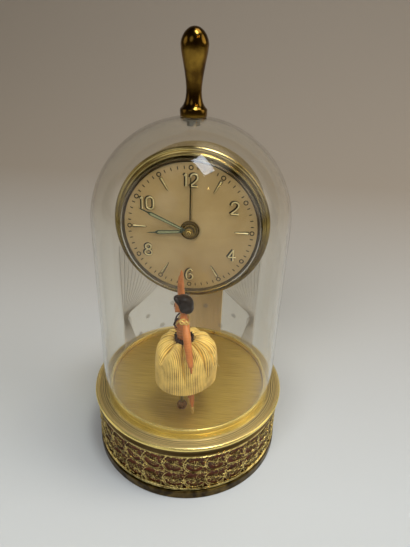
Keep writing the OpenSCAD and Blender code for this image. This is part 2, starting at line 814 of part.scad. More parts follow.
cloth_t = 0.4;
bodice_top_share = 1.16;
bust_share = 0.7;
module bodice() {
    top = chest_z * bodice_top_share;
    low = band_h / 2 + gap;
    color("#e4d38a") in_doll() {
        rotate_extrude() polygon([
            [waist_r + cloth_t, low], [waist_r + 2 * cloth_t, low], [chest_r + 2 * gap + cloth_t, chest_z * bust_share],
            [chest_r + 2 * gap + cloth_t, top], [chest_r + 2 * gap, top], [chest_r + 2 * gap, chest_z * bust_share]
        ]);
    }
}
band_h = 3;
band_r = hip_r + 2 * cloth_t;
module waistband() {
    color("#3b2a22") in_doll() translate([0, 0, -band_h / 2]) ring(band_r, hip_r + gap, band_h);
}

// The skirt: a thin cloth shell gathered at the waist, ballooning out and falling straight to the hem
skirt_rings = 10;
skirt_sides = 48;
skirt_folds = 12;
fold_turn = 8;
skirt_top_rings = 4;
skirt_top = -band_h / 2 - 2 * cloth_t;
skirt_shift = 2;
skirt_radius_share = [0.252, 0.345, 0.52, 0.72, 0.86, 0.94, 0.98, 1, 1, 1, 0.99];
skirt_drop_share = [0, -0.03, -0.055, 0, 0.1, 0.22, 0.37, 0.53, 0.69, 0.85, 1];
skirt_fold_share = [0.0, 0.1, 0.1, 0.075, 0.055, 0.04, 0.03, 0.022, 0.018, 0.015, 0.012];
skirt_shift_share = [0, 0, 0.2, 0.5, 0.8, 1, 1, 1, 1, 1, 1];
function skirt_point(i, a, inset) =
    let (
        fold = 1 + skirt_fold_share[i] * cos(skirt_folds * a + fold_turn * i),
        r = (skirt_r - skirt_shift / 2) * skirt_radius_share[i] * fold - inset
    )
    [
        r * cos(a) + skirt_shift * skirt_shift_share[i],
        r * sin(a),
        skirt_top - skirt_h * skirt_drop_share[i] - (i < skirt_top_rings ? inset : 0)
    ];
module skirt() {
    rings = skirt_rings + 1;
    n = skirt_sides;
    points = [
        for (inset = [0, cloth_t], i = [0 : skirt_rings], k = [0 : n - 1]) skirt_point(i, 360 * k / n, inset)
    ];
    function at(layer, i, k) = layer * rings * n + i * n + k % n;
    faces = concat(
        [for (i = [0 : skirt_rings - 1], k = [0 : n - 1]) [at(0, i, k), at(0, i, k + 1), at(0, i + 1, k)]],
        [for (i = [0 : skirt_rings - 1], k = [0 : n - 1]) [at(0, i, k + 1), at(0, i + 1, k + 1), at(0, i + 1, k)]],
        [for (i = [0 : skirt_rings - 1], k = [0 : n - 1]) [at(1, i, k), at(1, i + 1, k), at(1, i, k + 1)]],
        [for (i = [0 : skirt_rings - 1], k = [0 : n - 1]) [at(1, i, k + 1), at(1, i + 1, k), at(1, i + 1, k + 1)]],
        [for (k = [0 : n - 1]) [at(0, 0, k), at(1, 0, k), at(0, 0, k + 1)]],
        [for (k = [0 : n - 1]) [at(1, 0, k), at(1, 0, k + 1), at(0, 0, k + 1)]],
        [for (k = [0 : n - 1]) [at(0, skirt_rings, k), at(0, skirt_rings, k + 1), at(1, skirt_rings, k)]],
        [for (k = [0 : n - 1]) [at(1, skirt_rings, k), at(0, skirt_rings, k + 1), at(1, skirt_rings, k + 1)]]
    );
    color("#e4d38a") in_doll() polyhedron(points, faces);
}

// Column: the strip is rolled to the dome's curve and stands behind the film
pillar_past_head = 3;
pillar_top_z = head_z + pillar_past_head;
pillar_angle = pillar_w / pillar_r * 180 / PI;
rivet_r = 0.8;
rivet_head_r = 1.4;
foot_rivet_z = stage_z + gap + rivet_head_r;
rivet_head_h = 0.4;
rivet_side_share = 0.3125;
rivet_side = rivet_side_share * pillar_angle;
module sector(outer, inner, height, span) {
    rotate([0, 0, 90 - span / 2]) rotate_extrude(angle = span) translate([inner, 0]) square([outer - inner, height]);
}
module pillar_rivet_places(z) {
    for (side = [-1, 1])
        translate([0, 0, z]) rotate([0, 0, pillar_turn + side * rivet_side]) rotate([-90, 0, 0]) children();
}
module rivet_hole() {
    translate([0, 0, rim_in_r - cut]) cylinder(r = rivet_r + gap, h = dome_in_r - rim_in_r + cut);
}
module pillar() {
    color("#a08458") difference() {
        rotate([0, 0, pillar_turn]) translate([0, 0, ledge_z + gap / 2])
            sector(pillar_r, pillar_in_r, pillar_top_z - ledge_z, pillar_angle);
        pillar_rivet_places(foot_rivet_z) rivet_hole();
        pillar_rivet_places(bracket_z) rivet_hole();
    }
}
module column_screws() {
    color(brass) {
        pillar_rivet_places(foot_rivet_z) rivet(rim_in_r, pillar_r);
        pillar_rivet_places(bracket_z) rivet(bracket_in_r, pillar_r);
        head_screw_places() head_screw();
    }
}
module rivet(from, to) {
    translate([0, 0, from - rivet_head_h - gap / 2]) cylinder(r = rivet_head_r, h = rivet_head_h);
    translate([0, 0, from - gap]) cylinder(r = rivet_r, h = to - from + gap);
}

// The bracket: a curved pad on the strip, a flat arm forward and an ear on the back of the case
bracket_t = 1.2;
bracket_drop_share = 0.421;
bracket_drop = bracket_drop_share * case_r;
bracket_z = head_z - bracket_drop;
bracket_in_r = pillar_in_r - film_gap - bracket_t;
bracket_w = 18;
bracket_pad_h = 7;
arm_z = bracket_z - bracket_pad_h / 2;
ear_y = case_back_y + cover_t + gap;
ear_h = 9;
module head_bracket() {
    pad_angle = bracket_w / bracket_in_r * 180 / PI;
    color(dark_brass) difference() {
        union() {
            rotate([0, 0, pillar_turn]) translate([0, 0, arm_z])
                sector(bracket_in_r + bracket_t, bracket_in_r, bracket_pad_h, pad_angle);
            translate([0, 0, arm_z]) intersection() {
                linear_extrude(height = bracket_t) polygon([
                    [-bracket_w / 2, ear_y], [bracket_w / 2, ear_y],
                    dome_r * [sin(pad_angle / 2 - pillar_turn), cos(pad_angle / 2 - pillar_turn)],
                    dome_r * [sin(-pad_angle / 2 - pillar_turn), cos(-pad_angle / 2 - pillar_turn)]
                ]);
                cylinder(r = bracket_in_r + bracket_t / 2, h = bracket_t);
            }
            translate([-bracket_w / 2, ear_y, arm_z - ear_h + bracket_t]) cube([bracket_w, bracket_t, ear_h]);
        }
        pillar_rivet_places(bracket_z) rivet_hole();
        head_screw_places() translate([0, 0, -bracket_t - gap]) hole(screw_r + gap / 2, bracket_t + gap);
    }
}
ear_screw_z = arm_z - ear_h / 2;
module head_screw_places() {
    for (side = [-1, 1])
        translate([side * bracket_w / 4, ear_y, ear_screw_z]) rotate([90, 0, 0]) children();
}
module head_screw() {
    translate([0, 0, -bracket_t - gap / 2]) screw(bracket_t + cover_t + 2 * gap);
}

film_z = ledge_z + gap;
film_h = arm_z - film_air - film_z;
corner_slack = 3;
module curtain_film() {
    edge = film_corner_r / film_r * 180 / PI;
    color("#dcdcd6", 0.6) difference() {
        rotate([0, 0, film_turn]) translate([0, 0, film_z]) sector(film_r, film_in_r, film_h, 2 * film_half_angle);
        pillar_rivet_places(foot_rivet_z) rivet_hole();
        for (side = [-1, 1])
            rotate([0, 0, film_turn + side * (film_half_angle - edge)])
                translate([0, film_in_r - cut, film_z + film_h - film_corner_r]) rotate([-90, 0, 0])
                    mirror([side > 0 ? 1 : 0, 0, 0]) linear_extrude(height = 3 * cut) polygon(concat(
                        arc(0, 0, film_corner_r, -corner_slack, corner_slack - 90),
                        [film_corner_r * [0, -2], film_corner_r * [2, -2], film_corner_r * [2, 0]]
                    ));
    }
}

// The alarm's trip rod runs from the head down into the base and frees the governor when it lifts
rod_x = -4;
rod_y = 22;
rod_r = 0.9;
rod_travel = 3;
rod_arm_t = 0.8;
rod_arm_z = fly_z + fly_h - 2 * rod_arm_t;
rod_arm_w = 1;
rod_bush_r = 1.6;
rod_bush_h = 3;
rod_bush_z = head_z - sqrt(pow(case_r, 2) - pow(rod_x, 2)) - rod_bush_h + case_t;
module trip_rod() {
    local = [
        rod_x * cos(music_turn) + (rod_y - barrel_y) * sin(music_turn),
        -rod_x * sin(music_turn) + (rod_y - barrel_y) * cos(music_turn)
    ];
    tip_x = governor_wheel_x + wheel_t / 2 - fly_r - body_gap;
    color(steel) {
        translate([rod_x, rod_y, rod_arm_z]) cylinder(r = rod_r, h = rod_bush_z + rod_bush_h + rod_travel - rod_arm_z);
        in_music() hull() {
            translate([local[0], local[1], rod_arm_z]) cylinder(r = rod_arm_w / 2, h = rod_arm_t, $fn = wing_fn);
            translate([tip_x - rod_arm_w / 2, worm_y, rod_arm_z])
                cylinder(r = rod_arm_w / 2, h = rod_arm_t, $fn = wing_fn);
        }
    }
}
module rod_bush() {
    color("#2b2622") translate([rod_x, rod_y, rod_bush_z]) difference() {
        cylinder(r = rod_bush_r, h = rod_bush_h);
        hole(rod_r + run_fit, rod_bush_h);
    }
}

// Clock head, in a frame with its origin at the dial's centre, X to the right, Y up and Z towards the front
module in_head() {
    translate([0, -dial_front, head_z]) rotate([90, 0, 0]) children();
}
bead_back = 3.3;
lip_foot_share = 0.8;
bead_neck_share = 0.9;
bead_start = 130;
skirt_in = 1;
skirt_len = 2;
module bezel() {
    bead_x = bezel_r - bezel_bead_r;
    bead_z = -lip_back - bead_back;
    shelf_z = front_plate_z + gap;
    color(brass) in_head() rotate_extrude() polygon(concat(
        [[lip_in_r, shelf_z + lip_foot_share * lip_t], [lip_in_r, -lip_back - lip_t / 3], [lip_in_r + lip_t / 3, -lip_back],
         [lip_r_head - lip_t / 3, -lip_back], [lip_r_head, -lip_back - lip_t / 3],
         [lip_r_head, bead_z + bezel_bead_r * bead_neck_share]],
        arc(bead_x, bead_z, bezel_bead_r, bead_start, -90),
        [[case_r, bezel_back_z], [case_in_r - gap, bezel_back_z], [case_in_r - gap, bezel_back_z - skirt_len],
         [case_in_r - skirt_in, bezel_back_z - skirt_len], [case_in_r - skirt_in, shelf_z], [lip_in_r - skirt_in, shelf_z],
         [lip_in_r - skirt_in, shelf_z + lip_foot_share * lip_t]]
    ));
}

// A deep crystal: a short wall, a round shoulder and a low dome
lens_r = lip_in_r - gap;
lens_wall_top = 0.6;
shoulder_r = 3;
shoulder_turn = 70;
module lens() {
    seat = front_plate_z + lip_foot_share * lip_t + 2 * gap;
    color("#dfe6e8", 0.35) in_head() difference() {
        rotate_extrude() polygon(lens_outline(lens_r, seat, lens_rise));
        rotate_extrude() polygon(lens_outline(lens_r - lens_t, seat - cut, lens_rise - lens_t));
    }
}
function lens_outline(r, bottom, top) =
    let (
        reach = r - shoulder_r * (1 - cos(shoulder_turn)),
        low = lens_wall_top + shoulder_r * sin(shoulder_turn),
        rise = top - low,
        big = (reach * reach + rise * rise) / (2 * rise),
        spread = asin(reach / big)
    )
    concat(
        [[0, bottom], [r, bottom]],
        arc(r - shoulder_r, lens_wall_top, shoulder_r, 0, shoulder_turn),
        [for (i = [1 : arc_steps]) let (a = spread * (1 - i / arc_steps)) [big * sin(a), top - big + big * cos(a)]]
    );

pipe_hole_r = 2.6;
module dial() {
    color("#d8cba6") in_head() translate([0, 0, -dial_t]) difference() {
        cylinder(r = dial_r, h = dial_t);
        hole(pipe_hole_r, dial_t);
    }
}
module dial_ring() {
    color("#4a3320") in_head() translate([0, 0, front_plate_z + gap / 2])
        ring(dial_r - gap, dial_r - sheet_t, dial_ring_h - gap);
}

// Applied figures and batons, raised on the dial
figure_t = 0.7;
figure_place_share = 0.7335;
figure_height_share = 0.172;
figure_width_share = 0.6;
figure_stroke_share = 0.15;
baton_length_share = 0.93;
baton_width_share = 0.18;
figure_r = figure_place_share * dial_r;
figure_h = figure_height_share * dial_r;
figure_w = figure_width_share * figure_h;
figure_stroke = figure_stroke_share * figure_h;
baton_len = baton_length_share * figure_h;
baton_w = baton_width_share * baton_len;
module stroke(from, to) {
    hull() {
        translate(from) circle(r = figure_stroke / 2, $fn = stroke_fn);
        translate(to) circle(r = figure_stroke / 2, $fn = stroke_fn);
    }
}
// Strokes of each figure, in shares of its width and height from its centre
two_share = [[-0.45, 0.3], [-0.2, 0.5], [0.2, 0.5], [0.45, 0.25], [0.3, 0], [-0.45, -0.5], [0.5, -0.5]];
four_share = [[0.5, -0.2], [-0.5, -0.2], [0.2, 0.5], [0.2, -0.5]];
six_share = [[0.35, 0.5], [0, 0.45], [-0.35, 0.1], [-0.45, -0.25], [-0.2, -0.5], [0.2, -0.5], [0.45, -0.25],
    [0.2, 0.02], [-0.2, 0.02], [-0.42, -0.2]];
eight_share = [[0, 0.02], [-0.35, 0.15], [-0.35, 0.4], [0, 0.5], [0.35, 0.4], [0.35, 0.15], [0, 0.02],
    [-0.45, -0.15], [-0.45, -0.4], [0, -0.5], [0.45, -0.4], [0.45, -0.15], [0, 0.02]];
zero_share = [[-0.3, 0.5], [0.3, 0.5], [0.45, 0.3], [0.45, -0.3], [0.3, -0.5], [-0.3, -0.5], [-0.45, -0.3],
    [-0.45, 0.3], [-0.3, 0.5]];
one_share = [[0, 0.5], [0, -0.5]];
// Places of the two figures in 12 and in 10, in shares of a figure's width
ones_place_share = -0.72;
two_place_share = 0.504;
zero_place_share = 0.36;
module figure(shares, x) {
    for (i = [0 : len(shares) - 2])
        stroke([x + shares[i][0] * figure_w, shares[i][1] * figure_h],
            [x + shares[i + 1][0] * figure_w, shares[i + 1][1] * figure_h]);
}
module dial_numerals() {
    color(brass) in_head() translate([0, 0, gap / 4]) {
        for (hour = [0, 2, 4, 6, 8, 10])
            translate(figure_r * [sin(30 * hour), cos(30 * hour), 0]) linear_extrude(height = figure_t) {
                if (hour == 0) {
                    figure(one_share, figure_w * ones_place_share);
                    figure(two_share, figure_w * two_place_share);
                }
                if (hour == 2) figure(two_share, 0);
                if (hour == 4) figure(four_share, 0);
                if (hour == 6) figure(six_share, 0);
                if (hour == 8) figure(eight_share, 0);
                if (hour == 10) {
                    figure(one_share, figure_w * ones_place_share);
                    figure(zero_share, figure_w * zero_place_share);
                }
            }
        for (hour = [1 : 2 : 11])
            rotate([0, 0, -30 * hour]) translate([0, figure_r, 0]) linear_extrude(height = figure_t)
                polygon([[-baton_w / 4, -baton_len / 2], [baton_w / 4, -baton_len / 2],
                    [baton_w / 2, baton_len / 2], [-baton_w / 2, baton_len / 2]]);
    }
}

// Movement plates; the back plate carries four pillars
plate_thick = 1.2;
movement_depth = 13.4;
back_plate_z = front_plate_z - plate_thick - movement_depth;
back_plate_inset = 6.5;
back_plate_r = case_in_r - back_plate_inset;
pillar_post_r = 1.8;
post_inset = 3;
post_place_r = back_plate_r - post_inset;
post_angles = [40, 160, 240, 320];
arbor_clock_r = 1;
module plate_holes(z) {
    translate([0, 0, z]) {
        hole(arbor_clock_r + run_fit, plate_thick);
        translate([minute_wheel_x, 0, 0]) hole(arbor_clock_r + run_fit, plate_thick);
        translate([0, alarm_set_y, 0]) hole(arbor_clock_r + run_fit, plate_thick);
        at_barrel() hole(wind_arbor_r + run_fit, plate_thick);
    }
}
module front_plate() {
    color("#5a4024") in_head() difference() {
        translate([0, 0, front_plate_z - plate_thick]) cylinder(r = case_in_r - skirt_in - 2 * gap, h = plate_thick);
        plate_holes(front_plate_z - plate_thick);
    }
}
module back_plate() {
    color(brass) in_head() difference() {
        union() {
            translate([0, 0, back_plate_z - plate_thick]) cylinder(r = back_plate_r, h = plate_thick);
            for (a = post_angles)
                rotate([0, 0, a]) translate([post_place_r, 0, back_plate_z - gap])
                    cylinder(r = pillar_post_r, h = front_plate_z - plate_thick - back_plate_z);
        }
        plate_holes(back_plate_z - plate_thick);
    }
}

// Mainspring barrel in mesh with the centre pinion
mainspring_teeth = 84;
centre_teeth = 12;
barrel_angle = 200;
barrel_away = (mainspring_teeth + centre_teeth) * barrel_module / 2;
mainspring_drum_share = 0.877;
mainspring_drum_r = mainspring_drum_share * mainspring_teeth * barrel_module / 2;
mainspring_drum_h = 9;
great_wheel_t = 1;
wind_arbor_r = 1.5;
great_wheel_back = 2.4;
great_wheel_z = front_plate_z - plate_thick - great_wheel_back;
module at_barrel() {
    rotate([0, 0, barrel_angle]) translate([barrel_away, 0, 0]) children();
}
module mainspring_barrel() {
    color(brass) in_head() at_barrel() difference() {
        union() {
            translate([0, 0, great_wheel_z]) gap_at(180, mainspring_teeth) linear_extrude(height = great_wheel_t)
                polygon(gear_outline(mainspring_teeth, barrel_module));
            translate([0, 0, great_wheel_z - mainspring_drum_h])
                cylinder(r = mainspring_drum_r, h = mainspring_drum_h + gap);
        }
        translate([0, 0, great_wheel_z - mainspring_drum_h])
            hole(wind_arbor_r + run_fit, mainspring_drum_h + great_wheel_t);
    }
}

// Back of the case
case_round_r = 4;
case_flange_w = 7;
cover_lap = 2.4;
case_mouth_r = case_r - case_flange_w;
knob_gap = 0.6;
knob_len = 6;
key_out = 9;
module case_shell() {
    back = bezel_back_z - case_depth;
    color(brass) difference() {
        in_head() rotate_extrude() polygon(concat(
            [[case_in_r, bezel_back_z - gap / 2], [case_r, bezel_back_z - gap / 2]],
            arc(case_r - case_round_r, back + case_round_r, case_round_r, 0, -90),
            [[case_mouth_r, back], [case_mouth_r, back + case_t]],
            arc(case_r - case_round_r, back + case_round_r, case_round_r - case_t, -90, 0)
        ));
        translate([rod_x, rod_y, rod_bush_z]) hole(rod_bush_r + gap / 2, rod_bush_h + case_t);
    }
}
module back_cover() {
    color(brass) difference() {
        in_head() difference() {
            union() {
                translate([0, 0, cover_z - cover_t - gap / 2]) cylinder(r = case_mouth_r + cover_lap, h = cover_t);
                translate([0, 0, cover_z - gap]) cylinder(r = case_mouth_r - gap, h = case_t + gap);
            }
            translate([minute_wheel_x, 0, cover_z - cover_t]) hole(arbor_clock_r + body_gap, cover_t + case_t);
            translate([0, alarm_set_y, cover_z - cover_t]) hole(arbor_clock_r + body_gap, cover_t + case_t);
            translate([0, 0, cover_z - cover_t]) at_barrel() hole(wind_arbor_r + body_gap, cover_t + case_t);
        }
        head_screw_places() translate([0, 0, -2 * cover_t])
            cylinder(r = screw_r + gap / 2, h = 2 * cover_t + case_t + cut);
    }
}

knob_back_z = cover_z - cover_t - knob_gap;
wind_boss_r = 2.6;
wind_wing_w = 8.6;
wind_wing_h = 7;
wind_wing_t = 1.6;
wind_turn = 20;
module winding_key() {
    color(brass) in_head() at_barrel() {
        translate([0, 0, knob_back_z - key_out / 2])
            cylinder(r = wind_arbor_r, h = front_plate_z - knob_back_z + key_out / 2 - plate_thick / 2);
        translate([0, 0, knob_back_z]) rotate([180, 0, wind_turn])
            butterfly(wind_boss_r, key_out, wind_wing_w, wind_wing_h, wind_wing_t, 0);
    }
}
flute_r = 0.4;
flute_out = 0.1;
flutes = 18;
time_knob_r = 4.2;
alarm_knob_r = 3.4;
// A fluted knob with a socket for its arbor
module set_knob(r, socket) {
    translate([0, 0, knob_back_z - knob_len]) difference() {
        cylinder(r = r, h = knob_len);
        for (i = [0 : flutes - 1])
            rotate([0, 0, 360 * i / flutes]) translate([r + flute_out, 0, -cut])
                cylinder(r = flute_r, h = knob_len + 2 * cut, $fn = flute_fn);
        if (socket > 0) translate([0, 0, knob_len - socket]) cylinder(r = arbor_clock_r + gap / 2, h = socket + cut);
    }
}

// Motion work: cannon pinion, minute wheel with its pinion, hour wheel; alarm wheel with its setting pinion
cannon_teeth = 12;
minute_teeth = 36;
minute_pinion_teeth = 10;
hour_teeth = 40;
alarm_teeth = 48;
alarm_pinion_teeth = 12;
minute_wheel_x = (cannon_teeth + minute_teeth) * motion_module / 2;
hour_module = 2 * minute_wheel_x / (minute_pinion_teeth + hour_teeth);
alarm_set_y = (alarm_teeth + alarm_pinion_teeth) * motion_module / 2;
motion_t = 0.7;
motion_gap = 0.4;
layer_a_z = front_plate_z + body_gap;
layer_b_z = layer_a_z + motion_t + motion_gap;
layer_c_z = layer_b_z + motion_t + motion_gap;
cannon_r = 1.25;
hour_pipe_r = 1.75;
alarm_pipe_r = 2.3;
alarm_hand_z = 1;
hour_hand_step = 1.8;
minute_hand_step = 1.4;
hour_hand_z = alarm_hand_z + hour_hand_step;
minute_hand_z = hour_hand_z + minute_hand_step;
tip_share = 0.7;
arbor_tip_r = tip_share * arbor_clock_r;
arbor_tip = 1;
knob_socket = 3;
module centre_arbor() {
    color(steel) in_head() {
        translate([0, 0, back_plate_z - plate_thick])
            cylinder(r = arbor_clock_r, h = front_plate_z - back_plate_z + plate_thick);
        tooth_at(barrel_angle) translate([0, 0, great_wheel_z - gap]) linear_extrude(height = great_wheel_t + 2 * gap)
            polygon(gear_outline(centre_teeth, barrel_module));
        translate([0, 0, layer_a_z]) linear_extrude(height = motion_t) polygon(gear_outline(cannon_teeth, motion_module));
        translate([0, 0, front_plate_z]) cylinder(r = cannon_r, h = minute_hand_z - front_plate_z);
        cylinder(r = arbor_tip_r, h = minute_hand_z + hand_t + arbor_tip);
    }
}
module minute_wheel() {
    color(brass) in_head() translate([minute_wheel_x, 0, 0]) {
        translate([0, 0, layer_a_z]) gap_at(180, minute_teeth) linear_extrude(height = motion_t)
            polygon(gear_outline(minute_teeth, motion_module));
        translate([0, 0, layer_a_z + motion_t - gap]) tooth_at(180) linear_extrude(height = layer_b_z - layer_a_z + gap)
            polygon(gear_outline(minute_pinion_teeth, hour_module));
        translate([0, 0, knob_back_z - knob_socket + gap])
            cylinder(r = arbor_clock_r, h = layer_b_z + motion_t - knob_back_z + knob_socket - gap);
    }
}
module hour_wheel() {
    color(brass) in_head() {
        translate([0, 0, layer_b_z]) gap_at(0, hour_teeth) gear(hour_teeth, hour_module, motion_t, cannon_r + run_fit);
        translate([0, 0, layer_b_z + motion_t - gap])
            ring(hour_pipe_r, cannon_r + run_fit, hour_hand_z - layer_b_z - motion_t);
    }
}
module alarm_wheel() {
    color(brass) in_head() {
        translate([0, 0, layer_c_z]) tooth_at(90) gear(alarm_teeth, motion_module, motion_t, hour_pipe_r + run_fit);
        translate([0, 0, layer_c_z + motion_t - gap])
            ring(alarm_pipe_r, hour_pipe_r + run_fit, alarm_hand_z - layer_c_z - motion_t);
    }
}
module time_set_knob() {
    color(brass) in_head() translate([minute_wheel_x, 0, 0]) set_knob(time_knob_r, knob_socket);
}
module alarm_set_knob() {
    color(brass) in_head() translate([0, alarm_set_y, 0]) {
        set_knob(alarm_knob_r, 0);
        translate([0, 0, knob_back_z - gap]) cylinder(r = arbor_clock_r, h = layer_c_z + motion_t - knob_back_z);
        translate([0, 0, layer_c_z]) gap_at(-90, alarm_pinion_teeth) linear_extrude(height = motion_t)
            polygon(gear_outline(alarm_pinion_teeth, motion_module));
    }
}

// Hands: a boss and a pointed blade
blade_share = 0.7;
taper_share = 0.84;
module hand(length, width, boss_r, hole_r) {
    difference() {
        union() {
            cylinder(r = boss_r, h = hand_t);
            linear_extrude(height = hand_t) polygon([
                [-width / 2, 0], [-width / 2, length * blade_share], [-width / 6, length * taper_share], [0, length],
                [width / 6, length * taper_share], [width / 2, length * blade_share], [width / 2, 0]
            ]);
        }
        hole(hole_r, hand_t);
    }
}
minute_angle = 6 * shown_minute;
hour_angle = 30 * shown_hour + shown_minute / 2;
minute_w = 1.7;
minute_boss_r = 2.5;
hour_w = 2;
hour_boss_r = 3.4;
alarm_w = 0.7;
alarm_boss_r = 5.1;
cap_r = 1.9;
cap_flange_h = 0.6;
cap_neck_r = 1.2;
cap_h = 1.6;
module minute_hand() {
    color("#3a3a2c") in_head() translate([0, 0, minute_hand_z + gap / 2]) rotate([0, 0, -minute_angle])
        hand(minute_len, minute_w, minute_boss_r, arbor_tip_r + gap / 2);
}
module hour_hand() {
    color("#3a3a2c") in_head() translate([0, 0, hour_hand_z]) rotate([0, 0, -hour_angle])
        hand(hour_len, hour_w, hour_boss_r, cannon_r + run_fit);
}
module alarm_hand() {
    color("#2c2013") in_head() translate([0, 0, alarm_hand_z])
        hand(alarm_len, alarm_w, alarm_boss_r, hour_pipe_r + run_fit);
}
module hand_cap() {
    color(dark_brass) in_head() translate([0, 0, minute_hand_z + hand_t + gap]) difference() {
        union() {
            cylinder(r = cap_r, h = cap_flange_h);
            cylinder(r = cap_neck_r, h = cap_h);
        }
        translate([0, 0, -cut]) cylinder(r = arbor_tip_r + gap / 2, h = cut + arbor_tip);
    }
}

// Dome with its knob
stud_r = 1.6;
washer_t = 0.8;
washer_r = 5;
module dome() {
    color("#e8eef0", 0.25) difference() {
        union() {
            translate([0, 0, ledge_z + gap / 2]) cylinder(r = dome_r, h = dome_straight_h - gap / 2);
            translate([0, 0, dome_round_z]) sphere(r = dome_r);
        }
        translate([0, 0, -cut]) cylinder(r = dome_in_r, h = dome_round_z + cut);
        translate([0, 0, dome_round_z]) sphere(r = dome_in_r);
        translate([0, 0, -cut]) cylinder(r = dome_r + cut, h = ledge_z + gap / 2 + cut);
        translate([0, 0, dome_round_z]) cylinder(r = stud_r + gap / 2, h = dome_r + cut);
    }
}
knob_flange_h = 3.4;
// Profile of the knob from its flange to its pear, in shares: radii of the foot's, the neck's and the pear's,
// heights of the flange's and the knob's
knob_foot_share = [[1, 0.4], [0.92, 1], [0.7, 1.6]];
knob_neck_share = [[1.12, 0.22], [1, 0.3], [1.08, 0.42], [1.4, 0.56]];
knob_shoulder_share = [0.94, 0.69];
pear_share = 1.18;
module dome_knob() {
    z0 = dome_top_z + gap / 2;
    flat = dome_r - sqrt(dome_r * dome_r - knob_foot_r * knob_foot_r);
    pear_z = knob_h - knob_r * pear_share;
    color(brass) difference() {
        rotate_extrude() polygon(concat(
            [[0, z0], [knob_foot_r, z0 - flat]],
            [for (p = knob_foot_share) [knob_foot_r * p[0], z0 + knob_flange_h * p[1]]],
            [for (p = knob_neck_share) [knob_neck_r * p[0], z0 + knob_h * p[1]]],
            [[knob_r * knob_shoulder_share[0], z0 + knob_h * knob_shoulder_share[1]]],
            [for (i = [0 : arc_steps]) let (a = 90 * i / arc_steps)
                [knob_r * cos(a), z0 + pear_z + (knob_h - pear_z) * sin(a)]]
        ));
        translate([0, 0, z0 - cut]) cylinder(r = stud_r + gap / 2, h = knob_stud_in + cut);
        translate([0, 0, dome_round_z]) sphere(r = dome_r + gap / 4);
    }
}
knob_stud_in = 9;
// Stud with a washer and a nut inside the dome
module knob_fixing() {
    inner_top = dome_round_z + dome_in_r;
    washer_z = inner_top - washer_t - body_gap - (dome_in_r - sqrt(dome_in_r * dome_in_r - washer_r * washer_r));
    color(steel) {
        translate([0, 0, washer_z]) cylinder(r = washer_r, h = washer_t);
        translate([0, 0, washer_z - nut_h]) cylinder(r = 2 * stud_r, h = nut_h + gap, $fn = nut_sides);
        translate([0, 0, washer_z - nut_h - gap])
            cylinder(r = stud_r, h = dome_top_z + knob_stud_in - gap - washer_z + nut_h);
    }
}

foot_ring();
base_drum();
gallery();
gallery_lining();
cornice();
stage_rim();
stage_plate();
base_plate();
base_screws();
spindle_bush();
music_bedplate();
music_barrel();
music_arbor();
music_key();
music_cylinder();
cylinder_bearings();
music_comb();
governor_block();
governor_wheel();
governor_fly();
dancer_gear();
dancer_spindle();
doll_body();
doll_hair();
raised_arm();
hanging_arm();
doll_legs();
bodice();
waistband();
skirt();
pillar();
column_screws();
head_bracket();
curtain_film();
trip_rod();
rod_bush();
case_shell();
bezel();
lens();
dial();
dial_ring();
dial_numerals();
front_plate();
back_plate();
mainspring_barrel();
winding_key();
centre_arbor();
minute_hand();
hand_cap();
hour_wheel();
hour_hand();
minute_wheel();
time_set_knob();
alarm_wheel();
alarm_hand();
alarm_set_knob();
back_cover();
dome();
dome_knob();
knob_fixing();
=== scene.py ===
"""Looks of a round table clock on a strip over a stage with a turning dancer, under a clear dome.

Metres, +Z up, the dial faces -Y, the origin is under the middle of the base.
"""
import math
import random

import bpy
from mathutils import Matrix, Vector


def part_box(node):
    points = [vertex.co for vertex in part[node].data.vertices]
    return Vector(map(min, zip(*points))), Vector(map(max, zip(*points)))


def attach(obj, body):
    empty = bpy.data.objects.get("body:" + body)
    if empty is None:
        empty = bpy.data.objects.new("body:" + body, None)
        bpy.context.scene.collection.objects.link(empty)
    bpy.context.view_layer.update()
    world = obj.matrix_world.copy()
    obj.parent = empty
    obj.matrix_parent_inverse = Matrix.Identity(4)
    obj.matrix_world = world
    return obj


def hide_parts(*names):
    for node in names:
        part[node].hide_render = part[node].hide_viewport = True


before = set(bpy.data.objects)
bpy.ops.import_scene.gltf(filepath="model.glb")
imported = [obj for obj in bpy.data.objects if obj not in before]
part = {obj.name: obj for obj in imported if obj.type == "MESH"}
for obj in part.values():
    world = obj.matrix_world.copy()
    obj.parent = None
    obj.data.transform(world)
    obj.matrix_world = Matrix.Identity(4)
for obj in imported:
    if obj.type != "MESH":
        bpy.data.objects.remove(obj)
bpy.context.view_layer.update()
mm = 0.001
random.seed(8)


# Camera, at the height and angle of the photograph

def set_camera():
    """The photograph's camera, fitted to ten circles and heights of the clock."""
    camera = bpy.data.cameras.new("photo_camera")
    camera.lens = 28.15
    camera.sensor_width = 36
    holder = bpy.data.objects.new("photo_camera", camera)
    bpy.context.scene.collection.objects.link(holder)
    holder.matrix_world = (
        Matrix.Translation((27.3 * mm, -213.0 * mm, 225.9 * mm))
        @ Matrix.Rotation(math.radians(5.134), 4, "Z")
        @ Matrix.Rotation(math.radians(62.627), 4, "X")
        @ Matrix.Rotation(math.radians(2.075), 4, "Z")
    )
    bpy.context.scene.camera = holder
    bpy.context.scene.view_settings.view_transform = "Standard"


set_camera()
dial_low, dial_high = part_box("dial")


# Materials

def linear(hex_colour):
    """An sRGB hex colour as Blender's linear one."""
    values = [int(hex_colour[i:i + 2], 16) / 255 for i in (1, 3, 5)]
    return [v / 12.92 if v <= 0.04045 else ((v + 0.055) / 1.055) ** 2.4 for v in values] + [1]


